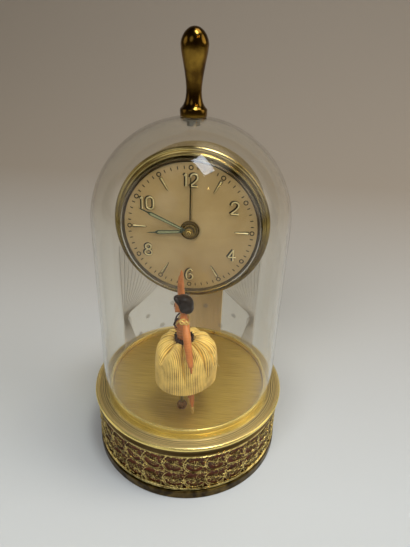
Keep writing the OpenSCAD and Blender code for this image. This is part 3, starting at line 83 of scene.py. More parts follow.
def add(tree, kind, sockets=None, stops=(), to=None, **settings):
    """Adds a node. Sockets are filled by name or number, with a value or with another node's output.

    The stops of a colour ramp are pairs of a place from 0 to 1 and a hex colour. to names the socket of the
    Principled shader that the node's first output goes to.
    """
    made = tree.nodes.new(kind)
    for name, value in settings.items():
        setattr(made, name, value)
    if stops:
        first, last = made.color_ramp.elements
        first.position, last.position = stops[0][0], stops[-1][0]
        first.color, last.color = linear(stops[0][1]), linear(stops[-1][1])
        for at, colour in stops[1:-1]:
            made.color_ramp.elements.new(at).color = linear(colour)
    for name, value in (sockets or {}).items():
        if isinstance(value, bpy.types.NodeSocket):
            tree.links.new(value, made.inputs[name])
        else:
            made.inputs[name].default_value = value
    if to:
        tree.links.new(made.outputs[0], tree.nodes["Principled BSDF"].inputs[to])
    return made


def start(name, **values):
    """A new material, its nodes, and the object coordinates in metres."""
    material = bpy.data.materials.new(name)
    material.use_nodes = True
    tree = material.node_tree
    for socket, value in values.items():
        tree.nodes["Principled BSDF"].inputs[socket.replace("_", " ")].default_value = value
    place = add(tree, "ShaderNodeTexCoord").outputs["Object"]
    return material, tree, place


def distance(tree, place, across):
    """How far a place is from an axis. Only the directions in across count."""
    flat = add(tree, "ShaderNodeVectorMath", {0: place, 1: across}, operation="MULTIPLY").outputs[0]
    return add(tree, "ShaderNodeVectorMath", {0: flat}, operation="LENGTH").outputs["Value"]


def polished_gilt_brass():
    """Lacquered gilt brass, buffed: a warm mirror with cloudy patches and a few dull spots."""
    material, tree, place = start("polished_gilt_brass", Metallic=1.0)
    # Cloudy patches about 8 mm wide
    clouds = add(tree, "ShaderNodeTexNoise", {"Vector": place, "Scale": 120.0, "Detail": 3.0}).outputs[0]
    add(tree, "ShaderNodeValToRGB", {0: clouds}, stops=((0.3, "#B2954A"), (0.7, "#E0C778")), to="Base Color")
    # Fine wear about 1 mm wide
    wear = add(tree, "ShaderNodeTexNoise", {"Vector": place, "Scale": 900.0, "Detail": 4.0}).outputs[0]
    add(tree, "ShaderNodeMapRange", {0: wear, 1: 0.35, 2: 0.75, 3: 0.1, 4: 0.26}, to="Roughness")
    add(tree, "ShaderNodeBump", {"Height": wear, "Strength": 0.06, "Distance": 0.0002}, to="Normal")
    return material


def browned_gilt_brass():
    """Spun brass with worn gilding: brown-grey where the lacquer has aged, and a painted highlight in yellow
    on the head's top.
    """
    material, tree, place = start("browned_gilt_brass", Metallic=1.0)
    # Worn patches about 16 mm wide
    clouds = add(tree, "ShaderNodeTexNoise", {"Vector": place, "Scale": 60.0, "Detail": 2.0}).outputs[0]
    tone = add(tree, "ShaderNodeValToRGB", {0: clouds},
               stops=((0.35, "#5A4622"), (0.72, "#94804A"))).outputs[0]
    # Painted highlight: the head's top is painted yellow, standing in for the glints of the light from above
    height = add(tree, "ShaderNodeSeparateXYZ", {0: place}).outputs[2]
    highlit_top_share = add(tree, "ShaderNodeMapRange", {0: height, 1: 0.15, 2: 0.183}).outputs[0]
    top = linear("#E0CA86")
    with_top_highlight = add(tree, "ShaderNodeMix", {0: highlit_top_share, 6: tone, 7: top}, data_type="RGBA").outputs[2]
    tree.links.new(with_top_highlight, tree.nodes["Principled BSDF"].inputs["Base Color"])
    # Fine wear about 2 mm wide
    wear = add(tree, "ShaderNodeTexNoise", {"Vector": place, "Scale": 450.0, "Detail": 2.0}).outputs[0]
    add(tree, "ShaderNodeMapRange", {0: wear, 1: 0.35, 2: 0.75, 3: 0.22, 4: 0.27}, to="Roughness")
    return material


def brushed_stage_brass():
    """Rolled brass sheet brushed from left to right: long streaks, soft reflections."""
    material, tree, place = start("brushed_stage_brass", Metallic=0.8)
    # Streaks about 0.3 mm wide and 18 mm long, drawn coarser than the real brushing so that they show
    stretched = add(tree, "ShaderNodeMapping", {"Vector": place, "Scale": (55.0, 3200.0, 1.0)}).outputs[0]
    streaks = add(tree, "ShaderNodeTexNoise", {"Vector": stretched, "Scale": 1.0, "Detail": 2.0}).outputs[0]
    add(tree, "ShaderNodeValToRGB", {0: streaks},
        stops=((0.3, "#BC9A40"), (0.72, "#E4C664")), to="Base Color")
    add(tree, "ShaderNodeMapRange", {0: streaks, 1: 0.2, 2: 0.8, 3: 0.5, 4: 0.36}, to="Roughness")
    add(tree, "ShaderNodeBump", {"Height": streaks, "Strength": 0.22, "Distance": 0.0003}, to="Normal")
    return material


def spun_tan_brass():
    """Spun brass with a matte tan lacquer: fine rings from the spinning, darker low down and in its grooves,
    and a painted highlight on the bead and rim.
    """
    material, tree, place = start("spun_tan_brass", Metallic=0.75)
    radius = distance(tree, place, (1, 1, 0))
    # Spinning rings about 0.5 mm apart
    rings = add(tree, "ShaderNodeTexNoise", {"W": radius, "Scale": 2000.0, "Detail": 2.0},
                noise_dimensions="1D").outputs[0]
    tone = add(tree, "ShaderNodeValToRGB", {0: rings}, stops=((0.3, "#CCB478"), (0.75, "#F2DFA2"))).outputs[0]
    # Darker under the ledge's upper face, in its grooves and in the cove, set by height and radius
    height = add(tree, "ShaderNodeSeparateXYZ", {0: place}).outputs[2]
    above_cove = add(tree, "ShaderNodeMapRange", {0: height, 1: 0.0376, 2: 0.0384}).outputs[0]
    open_face = add(tree, "ShaderNodeMapRange", {0: height, 1: 0.03965, 2: 0.03995}).outputs[0]
    outer = add(tree, "ShaderNodeMapRange", {0: radius, 1: 0.0562, 2: 0.0566}).outputs[0]
    kept = add(tree, "ShaderNodeMath", {0: open_face, 1: outer}, operation="MAXIMUM").outputs[0]
    share = add(tree, "ShaderNodeMath", {0: above_cove, 1: kept}, operation="MULTIPLY").outputs[0]
    worn = add(tree, "ShaderNodeMix", {0: share, 6: linear("#66522C"), 7: tone}, data_type="RGBA").outputs[2]
    # Painted highlight: the bead at the edge and the rim round the stage are painted bright yellow, and made
    # a little smoother
    bead_on = add(tree, "ShaderNodeMapRange", {0: radius, 1: 0.0574, 2: 0.0578}).outputs[0]
    rim_on = add(tree, "ShaderNodeMapRange", {0: radius, 1: 0.0506, 2: 0.0503}).outputs[0]
    edge = add(tree, "ShaderNodeMath", {0: bead_on, 1: rim_on}, operation="MAXIMUM").outputs[0]
    rubbed = add(tree, "ShaderNodeMath", {0: edge, 1: above_cove}, operation="MULTIPLY").outputs[0]
    painted_highlight_yellow = linear("#F0D880")
    bright = add(tree, "ShaderNodeMix", {0: rubbed, 6: worn, 7: painted_highlight_yellow}, data_type="RGBA").outputs[2]
    tree.links.new(bright, tree.nodes["Principled BSDF"].inputs["Base Color"])
    grain = add(tree, "ShaderNodeMapRange", {0: rings, 1: 0.2, 2: 0.8, 3: 0.44, 4: 0.3}).outputs[0]
    add(tree, "ShaderNodeMath", {0: rubbed, 1: -0.2, 2: grain}, operation="MULTIPLY_ADD", to="Roughness")
    add(tree, "ShaderNodeBump", {"Height": rings, "Strength": 0.12, "Distance": 0.0002}, to="Normal")
    return material


def stamped_gallery_brass():
    """Stamped brass, gilt and then rubbed: yellow on its high points, brown film in its depths."""
    material, tree, place = start("stamped_gallery_brass", Metallic=1.0)
    radius = distance(tree, place, (1, 1, 0))
    # The relief stands about 1.3 mm proud
    relief = add(tree, "ShaderNodeMapRange", {0: radius, 1: 0.0555, 2: 0.057}).outputs[0]
    # Wear in patches about 3 mm wide
    patches = add(tree, "ShaderNodeTexNoise", {"Vector": place, "Scale": 330.0, "Detail": 4.0}).outputs[0]
    worn = add(tree, "ShaderNodeMath", {0: relief, 1: patches, 2: 0.1}, operation="MULTIPLY_ADD").outputs[0]
    add(tree, "ShaderNodeValToRGB", {0: worn},
               stops=((0.2, "#2E210E"), (0.4, "#745A24"), (0.62, "#E8D184")), to="Base Color")
    add(tree, "ShaderNodeMapRange", {0: patches, 1: 0.3, 2: 0.8, 3: 0.16, 4: 0.34}, to="Roughness")
    return material


def bronzed_hub_brass():
    """Bronzed brass turned in steps: dark flats, and painted highlights in rings round the arbor where the
    turned edges would glint.
    """
    material, tree, place = start("bronzed_hub_brass", Metallic=0.55)
    middle = ((dial_low.x + dial_high.x) / 2, 0, (dial_low.z + dial_high.z) / 2)
    away = add(tree, "ShaderNodeVectorMath", {0: place, 1: middle}, operation="SUBTRACT").outputs[0]
    radius = distance(tree, away, (1, 0, 1))
    # Painted highlights: bright rings on the turned edges, which stand 0.6 to 1 mm apart, between dark flats
    share = add(tree, "ShaderNodeMapRange", {0: radius, 1: 0.0, 2: 0.0056}).outputs[0]
    rings = (
        (0.0, "#C2A254"), (0.12, "#4A3818"), (0.2, "#D8BC6E"), (0.26, "#2E2210"), (0.36, "#B0914A"),
        (0.42, "#33270F"), (0.56, "#A3863F"), (0.62, "#2A1F0D"), (0.74, "#8A6F35"), (0.8, "#2A1F0D"),
        (0.9, "#7A6230"), (0.98, "#30240F"),
    )
    add(tree, "ShaderNodeValToRGB", {0: share}, stops=rings, to="Base Color")
    grain = add(tree, "ShaderNodeTexNoise", {"Vector": place, "Scale": 1500.0, "Detail": 3.0}).outputs[0]
    add(tree, "ShaderNodeMapRange", {0: grain, 3: 0.18, 4: 0.34}, to="Roughness")
    return material


def yellow_grosgrain():
    """Yellow grosgrain, woven: ribs that run from the waist to the hem, and a soft silky sheen."""
    material, tree, place = start("yellow_grosgrain", Roughness=0.55, Sheen_Weight=0.05)
    flat = add(tree, "ShaderNodeUVMap").outputs[0]
    # The UV map is in units of 10 mm. Real ribs are about 0.6 mm apart, and these 1.1 mm, so that they show
    ribs = add(tree, "ShaderNodeTexWave", {"Vector": flat, "Scale": 2.86, "Distortion": 0.25, "Detail": 1.0},
               wave_type="BANDS", bands_direction="X").outputs[1]
    cloud = add(tree, "ShaderNodeTexNoise", {"Vector": place, "Scale": 160.0, "Detail": 3.0}).outputs[0]
    # Painted shade and light: each rib's groove is painted darker and its crest lighter, mixed with clouds of
    # tone
    rib_shade_and_cloud = add(tree, "ShaderNodeMath", {0: ribs, 1: 0.5, 2: cloud}, operation="MULTIPLY_ADD").outputs[0]
    add(tree, "ShaderNodeValToRGB", {0: rib_shade_and_cloud}, stops=((0.35, "#84601A"), (0.95, "#F0CE72")), to="Base Color")
    add(tree, "ShaderNodeBump", {"Height": ribs, "Strength": 0.5, "Distance": 0.0002}, to="Normal")
    return material


def tan_lacquered_steel():
    """Rolled steel strip with a tan lacquer: half matte, with faint upright streaks about 1 mm wide."""
    material, tree, place = start(
        "tan_lacquered_steel", Metallic=0.15, Coat_Weight=0.2, Coat_Roughness=0.3)
    stretched = add(tree, "ShaderNodeMapping", {"Vector": place, "Scale": (900.0, 900.0, 60.0)}).outputs[0]
    streaks = add(tree, "ShaderNodeTexNoise", {"Vector": stretched, "Scale": 1.0, "Detail": 3.0}).outputs[0]
    add(tree, "ShaderNodeValToRGB", {0: streaks},
        stops=((0.3, "#D8BA7C"), (0.75, "#E8CA8E")), to="Base Color")
    add(tree, "ShaderNodeMapRange", {0: streaks, 3: 0.5, 4: 0.38}, to="Roughness")
    return material


def lacquered_dial_brass():
    """Brass sheet, silvered and lacquered: satin champagne, with very soft clouds about 16 mm wide."""
    material, tree, place = start("lacquered_dial_brass", Metallic=0.2)
    fine = add(tree, "ShaderNodeTexNoise", {"Vector": place, "Scale": 60.0, "Detail": 4.0}).outputs[0]
    add(tree, "ShaderNodeValToRGB", {0: fine}, stops=((0.25, "#AE9569"), (0.75, "#C3AB81")), to="Base Color")
    satin = add(tree, "ShaderNodeTexNoise", {"Vector": place, "Scale": 1800.0}).outputs[0]
    add(tree, "ShaderNodeMapRange", {0: satin, 3: 0.36, 4: 0.48}, to="Roughness")
    return material


def plain(name, low, high, rough, scale, detail=3.0, at=(0.3, 0.75), worn=(0.0, 1.0), pits=0.0, **values):
    """A surface with one grain, about 1000 / scale mm wide, that runs from a low tone to a high one.

    rough is one roughness, or those of the grain's two ends. at and worn say where in the grain the tones and
    the roughness are at their ends, and pits how strongly the grain shows as relief.
    """
    if not isinstance(rough, tuple):
        rough = (rough * 0.85, rough * 1.15)
    material, tree, place = start(name, **values)
    grain = add(tree, "ShaderNodeTexNoise", {"Vector": place, "Scale": scale, "Detail": detail}).outputs[0]
    add(tree, "ShaderNodeValToRGB", {0: grain}, stops=((at[0], low), (at[1], high)), to="Base Color")
    ends = {0: grain, 1: worn[0], 2: worn[1], 3: rough[0], 4: rough[1]}
    add(tree, "ShaderNodeMapRange", ends, to="Roughness")
    if pits:
        add(tree, "ShaderNodeBump", {"Height": grain, "Strength": pits, "Distance": 0.0003}, to="Normal")
    return material


def clear_moulded_acrylic(name, tint):
    """Clear moulded acrylic: it bends and mirrors what is round it, and lets lamp light through."""
    # Acrylic has an IOR of 1.49. This thin moulding mirrors less in the photograph, so the IOR is set lower
    material, tree, _ = start(
        name, Base_Color=linear(tint), Transmission_Weight=1.0, Roughness=0.01, IOR=1.25)
    ray = add(tree, "ShaderNodeLightPath").outputs["Is Shadow Ray"]
    through = add(tree, "ShaderNodeBsdfTransparent", {"Color": linear(tint)}).outputs[0]
    shaded = tree.nodes["Principled BSDF"].outputs[0]
    both = add(tree, "ShaderNodeMixShader", {0: ray, 1: shaded, 2: through}).outputs[0]
    tree.links.new(both, tree.nodes["Material Output"].inputs["Surface"])
    return material


gilt = polished_gilt_brass()
browned_gilt = browned_gilt_brass()
brushed = brushed_stage_brass()
spun = spun_tan_brass()
gallery_brass = stamped_gallery_brass()
hub_bronze = bronzed_hub_brass()
strip_tan = tan_lacquered_steel()
dial_champagne = lacquered_dial_brass()
ribs_yellow = yellow_grosgrain()

# Turned brass whose gilding has gone brown: a deep warm mirror with clouds and rubbed places
old_gilt = plain("old_gilt_brass", "#543C15", "#98762E", (0.2, 0.09), 160.0, 5.0, (0.35, 0.72), (0.3, 0.75),
                 Metallic=1.0)
# Brass left to darken: a brown film, with brighter places where it is rubbed
aged = plain("aged_brass", "#32250F", "#786232", (0.46, 0.28), 200.0, 5.0, (0.35, 0.75), (0.3, 0.8),
             Metallic=1.0)
# Turned and drawn steel: cool reflections over a fine grain
steel = plain("turned_steel", "#8B8B88", "#BEBDB8", (0.24, 0.4), 1400.0, at=(0.0, 1.0), Metallic=1.0)
# Die-cast zinc of the musical movement: a grey skin with small pits
zinc = plain("die_cast_zinc", "#777775", "#A3A29D", (0.45, 0.62), 700.0, 5.0, (0.0, 1.0), pits=0.2,
             Metallic=0.9)
# Coated paper behind the gallery: red-brown, half matte, with fibres
lining_red = plain("coated_red_paper", "#36180B", "#7C3A1C", (0.55, 0.55), 450.0, 4.0, (0.3, 0.8))
# Turned brass, bronzed brown: a dull warm gleam on a round head
bush_brown = plain("bronzed_turned_brass", "#573B1C", "#866034", 0.28, 500.0, Metallic=0.3)
# Steel ring in brown lacquer: a dark half-matte band round the dial
band_brown = plain("brown_lacquered_steel", "#2C200F", "#443319", 0.45, 300.0)
# Printing ink: flat black-brown, with no gloss
print_black = plain("black_printing_ink", "#15110B", "#211B13", 0.6, 900.0)
# Injection-moulded plastic, sprayed in skin colour: an even eggshell gloss
doll_skin = plain("painted_moulded_plastic", "#A4602C", "#C07840", 0.42, 250.0)
# Brushed gloss paint of hair and eyes: near black, with one soft light on it
doll_hair = plain("black_gloss_paint", "#120A06", "#20130C", 0.3, 400.0, Specular_IOR_Level=0.25)
# Plain woven rayon of straps, bow and thread: pale yellow with a faint sheen
ribbon = plain("woven_yellow_rayon", "#B8953F", "#DCC27A", 0.6, 600.0, Sheen_Weight=0.1)
# Glued satin of the bodice: golden brown, smoother than the ribbon
bodice_cloth = plain("gold_satin_cloth", "#8A5526", "#A9713A", 0.45, 500.0, Sheen_Weight=0.1)
# Bronze powder paint of the shoes: gold that is half matte
gold_paint = plain("bronze_powder_paint", "#B58F42", "#D9BE78", 0.4, 700.0, Metallic=0.3)
# Brushed enamel paint of the lips
lip_red = plain("red_enamel_paint", "#8E2A22", "#A23A30", 0.4, 900.0)
# Screen-printed inks on the film: grey lines, and a white so thin that the wall shows through
print_grey = plain("grey_screen_ink", "#989083", "#ADA699", 0.6, 900.0, Alpha=0.8)
print_white = plain("white_screen_ink", "#F4F2EC", "#FBFAF7", 0.6, 700.0, Alpha=0.16)
# Gathered cotton ribbon at the waist, also used for the dark lines along the neckline: dark brown and matte
dark_ribbon = plain("dark_cotton_ribbon", "#2A1A14", "#42291F", 0.7, 800.0)
# Moulded phenolic of the rod's bush: brown-black with a soft gloss
bush_black = plain("moulded_phenolic", "#1C1410", "#33261D", 0.3, 700.0)
# Acetate film: clear, and just milky enough to be seen
film_milk = plain("clear_acetate_film", "#D8D6CE", "#E6E4DC", 0.35, 200.0, Alpha=0.1)
# Baked enamel on pressed hands: green-black edges round the paint
hand_dark = plain("green_black_enamel", "#1E2A20", "#34463A", 0.35, 900.0)
# Painted shadow under the stamped figures and batons: a flat near-black on their lower side
figure_painted_shadow = plain("black_painted_shadow", "#171108", "#2A2010", 0.5, 900.0)
# Stamped brass with pale gilding, buffed: bright faces of figures and batons
figure_faces = plain("pale_gilt_stamped_brass", "#EAD9A4", "#F7EBC4", 0.3, 700.0, Metallic=0.6)
# Luminous paint in the hands, long faded: chalky pale green
lume = plain("faded_luminous_paint", "#8C9274", "#A3A98A", 0.6, 1200.0)
dome_clear = clear_moulded_acrylic("clear_acrylic_dome", "#FBFAF5")
lens_clear = clear_moulded_acrylic("clear_acrylic_lens", "#FCFBF6")

finish_of = {
    gallery_brass: ["gallery"],
    browned_gilt: ["bezel", "case_shell", "back_cover"],
    gilt: ["dial_numerals", "back_plate", "music_barrel", "music_cylinder",
           "governor_wheel", "dancer_gear", "mainspring_barrel", "winding_key", "hour_wheel", "minute_wheel",
           "alarm_wheel", "time_set_knob", "alarm_set_knob", "column_screws"],
    old_gilt: ["dome_knob"],
    aged: ["foot_ring", "base_drum", "base_plate", "spindle_bush", "cylinder_bearings", "head_bracket",
           "front_plate"],
    brushed: ["stage_plate"],
    spun: ["cornice", "stage_rim"],
    strip_tan: ["pillar"],
    lining_red: ["gallery_lining"],
    steel: ["base_screws", "music_arbor", "music_key", "music_comb", "governor_fly", "dancer_spindle",
            "trip_rod", "centre_arbor", "knob_fixing"],
    zinc: ["music_bedplate", "governor_block"],
    dial_champagne: ["dial"],
    band_brown: ["dial_ring"],
    doll_skin: ["doll_body", "raised_arm", "hanging_arm", "doll_legs"],
    doll_hair: ["doll_hair"],
    ribs_yellow: ["skirt"],
    bodice_cloth: ["bodice"],
    dark_ribbon: ["waistband"],
    bush_black: ["rod_bush"],
    film_milk: ["curtain_film"],
    hand_dark: ["minute_hand", "hour_hand"],
    hub_bronze: ["alarm_hand", "hand_cap"],
    dome_clear: ["dome"],
    lens_clear: ["lens"],
}
for finish, names in finish_of.items():
    for name in names:
        part[name].data.materials.clear()
        part[name].data.materials.append(finish)


# Room: a plain pale floor that rises into a backdrop, and soft lamps

def set_room():
    """Bends a sheet of pale paper up behind the clock."""
    bpy.ops.object.select_all(action="DESELECT")
    bpy.ops.mesh.primitive_plane_add(size=6, location=(0, -2.85, 0))
    floor = bpy.context.object
    floor.name = "floor"
    bpy.ops.object.transform_apply()
    bpy.ops.object.mode_set(mode="EDIT")
    bpy.ops.mesh.select_all(action="DESELECT")
    bpy.ops.object.mode_set(mode="OBJECT")
    for edge in floor.data.edges:
        edge.select = all(floor.data.vertices[i].co.y > 0.1 for i in edge.vertices)
    bpy.ops.object.mode_set(mode="EDIT")
    radius, steps = 0.9, 24
    for k in range(steps):
        a, b = math.pi / 2 * k / steps, math.pi / 2 * (k + 1) / steps
        move = (0, radius * (math.sin(b) - math.sin(a)), radius * (math.cos(a) - math.cos(b)))
        bpy.ops.mesh.extrude_region_move(TRANSFORM_OT_translate={"value": move})
    bpy.ops.mesh.extrude_region_move(TRANSFORM_OT_translate={"value": (0, 0, 2)})
    bpy.ops.mesh.select_all(action="SELECT")
    bpy.ops.mesh.normals_make_consistent(inside=False)
    bpy.ops.object.mode_set(mode="OBJECT")
    bpy.ops.object.shade_smooth()
    material, tree, place = start("pale_paper_sweep", Roughness=0.8)
    parts = add(tree, "ShaderNodeSeparateXYZ", {0: place}).outputs
    back = add(tree, "ShaderNodeMapRange", {0: parts[1], 1: -0.05, 2: 0.45}).outputs[0]
    add(tree, "ShaderNodeValToRGB", {0: back}, stops=((0.0, "#BDC0BD"), (1.0, "#978C7C")), to="Base Color")
    floor.data.materials.append(material)


def add_lamp(name, place, aim, size, power, tint, mirrored=False):
    """A soft lamp. Only a mirrored one shows in glass and metal."""
    lamp = bpy.data.lights.new(name, "AREA")
    lamp.shape = "RECTANGLE"
    lamp.size, lamp.size_y = size
    lamp.energy = power
    lamp.color = linear(tint)[:3]
    holder = bpy.data.objects.new(name, lamp)
    bpy.context.scene.collection.objects.link(holder)
    way = Vector(aim) - Vector(place)
    holder.matrix_world = Matrix.Translation(place) @ way.to_track_quat("-Z", "Y").to_matrix().to_4x4()
    holder.visible_glossy = mirrored
    holder.visible_transmission = mirrored


def set_lamps():
    """Two soft lamps, a window and two bulbs as the dome mirrors them, and the room."""
    add_lamp("front", (-0.35, -0.85, 0.85), (0, 0, 0.1), (0.5, 0.5), 7.0, "#F6F7FF")
    add_lamp("side", (0.9, -0.1, 0.8), (0, 0, 0.05), (0.6, 0.5), 6.0, "#FBFAFF")
    add_lamp("window", (0.22, -0.2, 1.25), (0, 0, 0.15), (0.24, 0.4), 6.0, "#E6F0FF", True)
    add_lamp("bulb_left", (0.39, -0.6, 1.0), (0, 0, 0.15), (0.04, 0.04), 0.25, "#FFD27A", True)
    add_lamp("bulb_right", (0.57, -0.43, 1.0), (0, 0, 0.15), (0.04, 0.04), 0.25, "#FFD27A", True)
    # The room that metal and glass mirror: dark brown, with soft pale panels overhead and at both sides
    world = bpy.data.worlds.new("room")
    world.use_nodes = True
    tree = world.node_tree
    way = add(tree, "ShaderNodeTexCoord").outputs["Generated"]
    up = add(tree, "ShaderNodeSeparateXYZ", {0: way}).outputs[2]
    tone = add(tree, "ShaderNodeValToRGB", {0: up}, stops=((0.0, "#4C4232"), (0.8, "#2A241B"))).outputs[0]
    light = tone
    # Each panel: the way to it, the cosines where its glow starts and is full, its tint and its power
    panels = (
        ((0.3, 0.15, 0.94), 0.93, 0.99, "#FFF3D8", 3.0),
        ((0.9, 0.1, 0.42), 0.9, 0.985, "#FFF6E6", 1.6),
        ((-0.94, -0.15, 0.3), 0.93, 0.99, "#EFE8DC", 0.9),
        ((-0.35, -0.75, 0.55), 0.96, 0.995, "#E8EEFF", 0.9),
    )
    for toward, edge, core, tint, power in panels:
        facing = add(tree, "ShaderNodeVectorMath", {0: way, 1: Vector(toward).normalized()[:]},
                     operation="DOT_PRODUCT").outputs["Value"]
        share = add(tree, "ShaderNodeMapRange", {0: facing, 1: edge, 2: core},
                    interpolation_type="SMOOTHSTEP").outputs[0]
        full = [value * power for value in linear(tint)[:3]] + [1]
        glow = add(tree, "ShaderNodeMix", {0: share, 6: (0, 0, 0, 1), 7: full}, data_type="RGBA").outputs[2]
        light = add(tree, "ShaderNodeMix", {0: 1.0, 6: light, 7: glow},
                    data_type="RGBA", blend_type="ADD").outputs[2]
    tree.links.new(light, tree.nodes["Background"].inputs["Color"])
    bpy.context.scene.world = world


set_room()
set_lamps()


# Ways of making that the pieces share

def choose(piece):
    """Selects one piece alone, for the tools that work on the active object."""
    bpy.ops.object.select_all(action="DESELECT")
    piece.select_set(True)
    bpy.context.view_layer.objects.active = piece


def new(tool, **settings):
    """A new piece from one of Blender's tools, alone selected."""
    tool(**settings)
    return bpy.context.object


def edit(action="SELECT"):
    """Opens the active piece for editing, with all of it selected or none."""
    bpy.ops.object.mode_set(mode="EDIT")
    bpy.ops.mesh.select_all(action=action)


def leave():
    """Ends the editing."""
    bpy.ops.object.mode_set(mode="OBJECT")


def turned(name, profile, steps=128, sharp=35):
    """Draws a profile of (radius, height) points in mm and spins it round Z, as on a lathe."""
    r, z = profile[0]
    piece = new(bpy.ops.mesh.primitive_plane_add, size=mm, location=(r * mm, 0, z * mm))
    piece.name = name
    bpy.ops.object.transform_apply()
    edit()
    bpy.ops.mesh.merge(type="CENTER")
    for (r0, z0), (r1, z1) in zip(profile, profile[1:]):
        move = ((r1 - r0) * mm, 0, (z1 - z0) * mm)
        bpy.ops.mesh.extrude_region_move(TRANSFORM_OT_translate={"value": move})
    bpy.ops.mesh.select_all(action="SELECT")
    bpy.ops.mesh.spin(steps=steps, angle=2 * math.pi, center=(0, 0, 0), axis=(0, 0, 1))
    bpy.ops.mesh.select_all(action="SELECT")
    bpy.ops.mesh.remove_doubles(threshold=0.000002)
    bpy.ops.mesh.normals_make_consistent(inside=False)
    leave()
    bpy.ops.object.shade_smooth_by_angle(angle=math.radians(sharp))
    return piece


def arc(cx, cy, r, start_deg, end_deg, steps=8):
    """Points of a round corner, for a profile."""
    return [
        (
            cx + r * math.cos(math.radians(start_deg + (end_deg - start_deg) * i / steps)),
            cy + r * math.sin(math.radians(start_deg + (end_deg - start_deg) * i / steps)),
        )
        for i in range(steps + 1)
    ]


def finish_piece(piece, finish, body, slot, *replaced):
    """Gives a piece its material, and lets it ride on its body in place of the CAD nodes named. The slot is
    not used.
    """
    piece.data.materials.clear()
    piece.data.materials.append(finish)
    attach(piece, body)
    if replaced:
        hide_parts(*replaced)
    return piece


def worked(piece, kind, **settings):
    """Changes the active piece with one modifier."""
    change = piece.modifiers.new(kind, kind)
    for name, value in settings.items():
        setattr(change, name, value)
    bpy.ops.object.modifier_apply(modifier=change.name)


def put(piece, matrix):
    """Puts a piece at its place, and leaves its object at the origin."""
    choose(piece)
    piece.matrix_world = matrix
    bpy.ops.object.transform_apply(location=True, rotation=True, scale=True)
    return piece


def joined(name, pieces):
    """Joins loose pieces into one, which keeps the name given."""
    bpy.ops.object.select_all(action="DESELECT")
    for piece in pieces:
        piece.select_set(True)
    bpy.context.view_layer.objects.active = pieces[0]
    if len(pieces) > 1:
        bpy.ops.object.join()
    whole = bpy.context.view_layer.objects.active
    whole.name = name
    return whole


def copied(piece, matrix):
    """A copy with its own mesh, moved by a matrix."""
    twin = piece.copy()
    twin.data = piece.data.copy()
    bpy.context.scene.collection.objects.link(twin)
    twin.data.transform(matrix)
    return twin


def smoothed(piece, sharp=35):
    """Shades a piece smooth, with edges where faces meet at more than so many degrees."""
    choose(piece)
    bpy.ops.object.shade_smooth_by_angle(angle=math.radians(sharp))
    return piece


def closed_faces(piece):
    """Merges doubles and turns the faces outwards."""
    choose(piece)
    edit()
    bpy.ops.mesh.remove_doubles(threshold=0.000002)
    bpy.ops.mesh.normals_make_consistent(inside=False)
    leave()
    return piece


def wire_bow(place, r, wire, start_deg, end_deg, steps, sides=6, flat=1.0):
    """A wire bent round a place to a ring or an arc that faces -Y.

    place, r and wire are in mm, and flat squashes the wire in y.
    """
    x, y, z = place
    a = math.radians(start_deg)
    piece = new(bpy.ops.mesh.primitive_circle_add, vertices=sides, radius=wire * mm, fill_type="NGON")
    piece.data.transform(
        Matrix.Translation((x * mm, y * mm, z * mm)) @ Matrix.Rotation(-a, 4, "Y")
        @ Matrix.Translation((r * mm, 0, 0)) @ Matrix.Diagonal((1, flat, 1, 1)))
    whole_ring = abs(end_deg - start_deg) > 359
    edit()
    bpy.ops.mesh.spin(
        steps=steps, angle=-math.radians(end_deg - start_deg),
        center=(x * mm, y * mm, z * mm), axis=(0, 1, 0))
    leave()
    # A whole ring has no ends, so the faces that closed them go
    if whole_ring:
        caps = [face.index for face in piece.data.polygons if len(face.vertices) == sides]
        edit("DESELECT")
        leave()
        for index in caps:
            piece.data.polygons[index].select = True
        bpy.ops.object.mode_set(mode="EDIT")
        bpy.ops.mesh.delete(type="ONLY_FACE")
        leave()
    return closed_faces(piece)


def rod(a, b, wire, sides=6, flat=1.0):
    """A straight wire between two places in mm, flattened in y."""
    a, b = Vector(a) * mm, Vector(b) * mm
    piece = new(bpy.ops.mesh.primitive_cylinder_add, vertices=sides, radius=wire * mm, depth=(b - a).length)
    turn = (b - a).to_track_quat("Z", "Y").to_matrix().to_4x4()
    piece.data.transform(Matrix.Translation((a + b) / 2) @ Matrix.Diagonal((1, flat, 1, 1)) @ turn)
    return piece


def bead(place, size, detail=1):
    """A small hammered bead: a ball of few faces, squashed by size (x, y, z) in mm."""
    piece = new(bpy.ops.mesh.primitive_ico_sphere_add, subdivisions=detail, radius=mm)
    piece.data.transform(Matrix.Translation(Vector(place) * mm) @ Matrix.Diagonal((*size, 1)))
    return piece


def between(p0, p1, p2, p3, t):
    """A smooth curve from p1, where t is 0, to p2, where t is 1. It works on numbers and on places."""
    return 0.5 * (2 * p1 + (p2 - p0) * t + (2 * p0 - 5 * p1 + 4 * p2 - p3) * t * t
                  + (3 * p1 - p0 - 3 * p2 + p3) * t ** 3)


def smooth_line(points, steps=6):
    """A smooth line through places, as many points between two of them as steps."""
    points = [Vector(p) for p in points]
    points = [2 * points[0] - points[1]] + points + [2 * points[-1] - points[-2]]
    line = []
    for i in range(1, len(points) - 2):
        for k in range(steps):
            line.append(between(*points[i - 1:i + 3], k / steps))
    line.append(points[-2])
    return line


def ring_line(x, y, r, steps):
    """The places of a small circle round (x, y)."""
    return [(x + r * math.cos(2 * math.pi * i / steps), y + r * math.sin(2 * math.pi * i / steps), 0)
            for i in range(steps)]


def both_sides(right):
    """An outline made of its right half and that half's mirror image."""
    return right + [(-x, y) for x, y in right[::-1]]


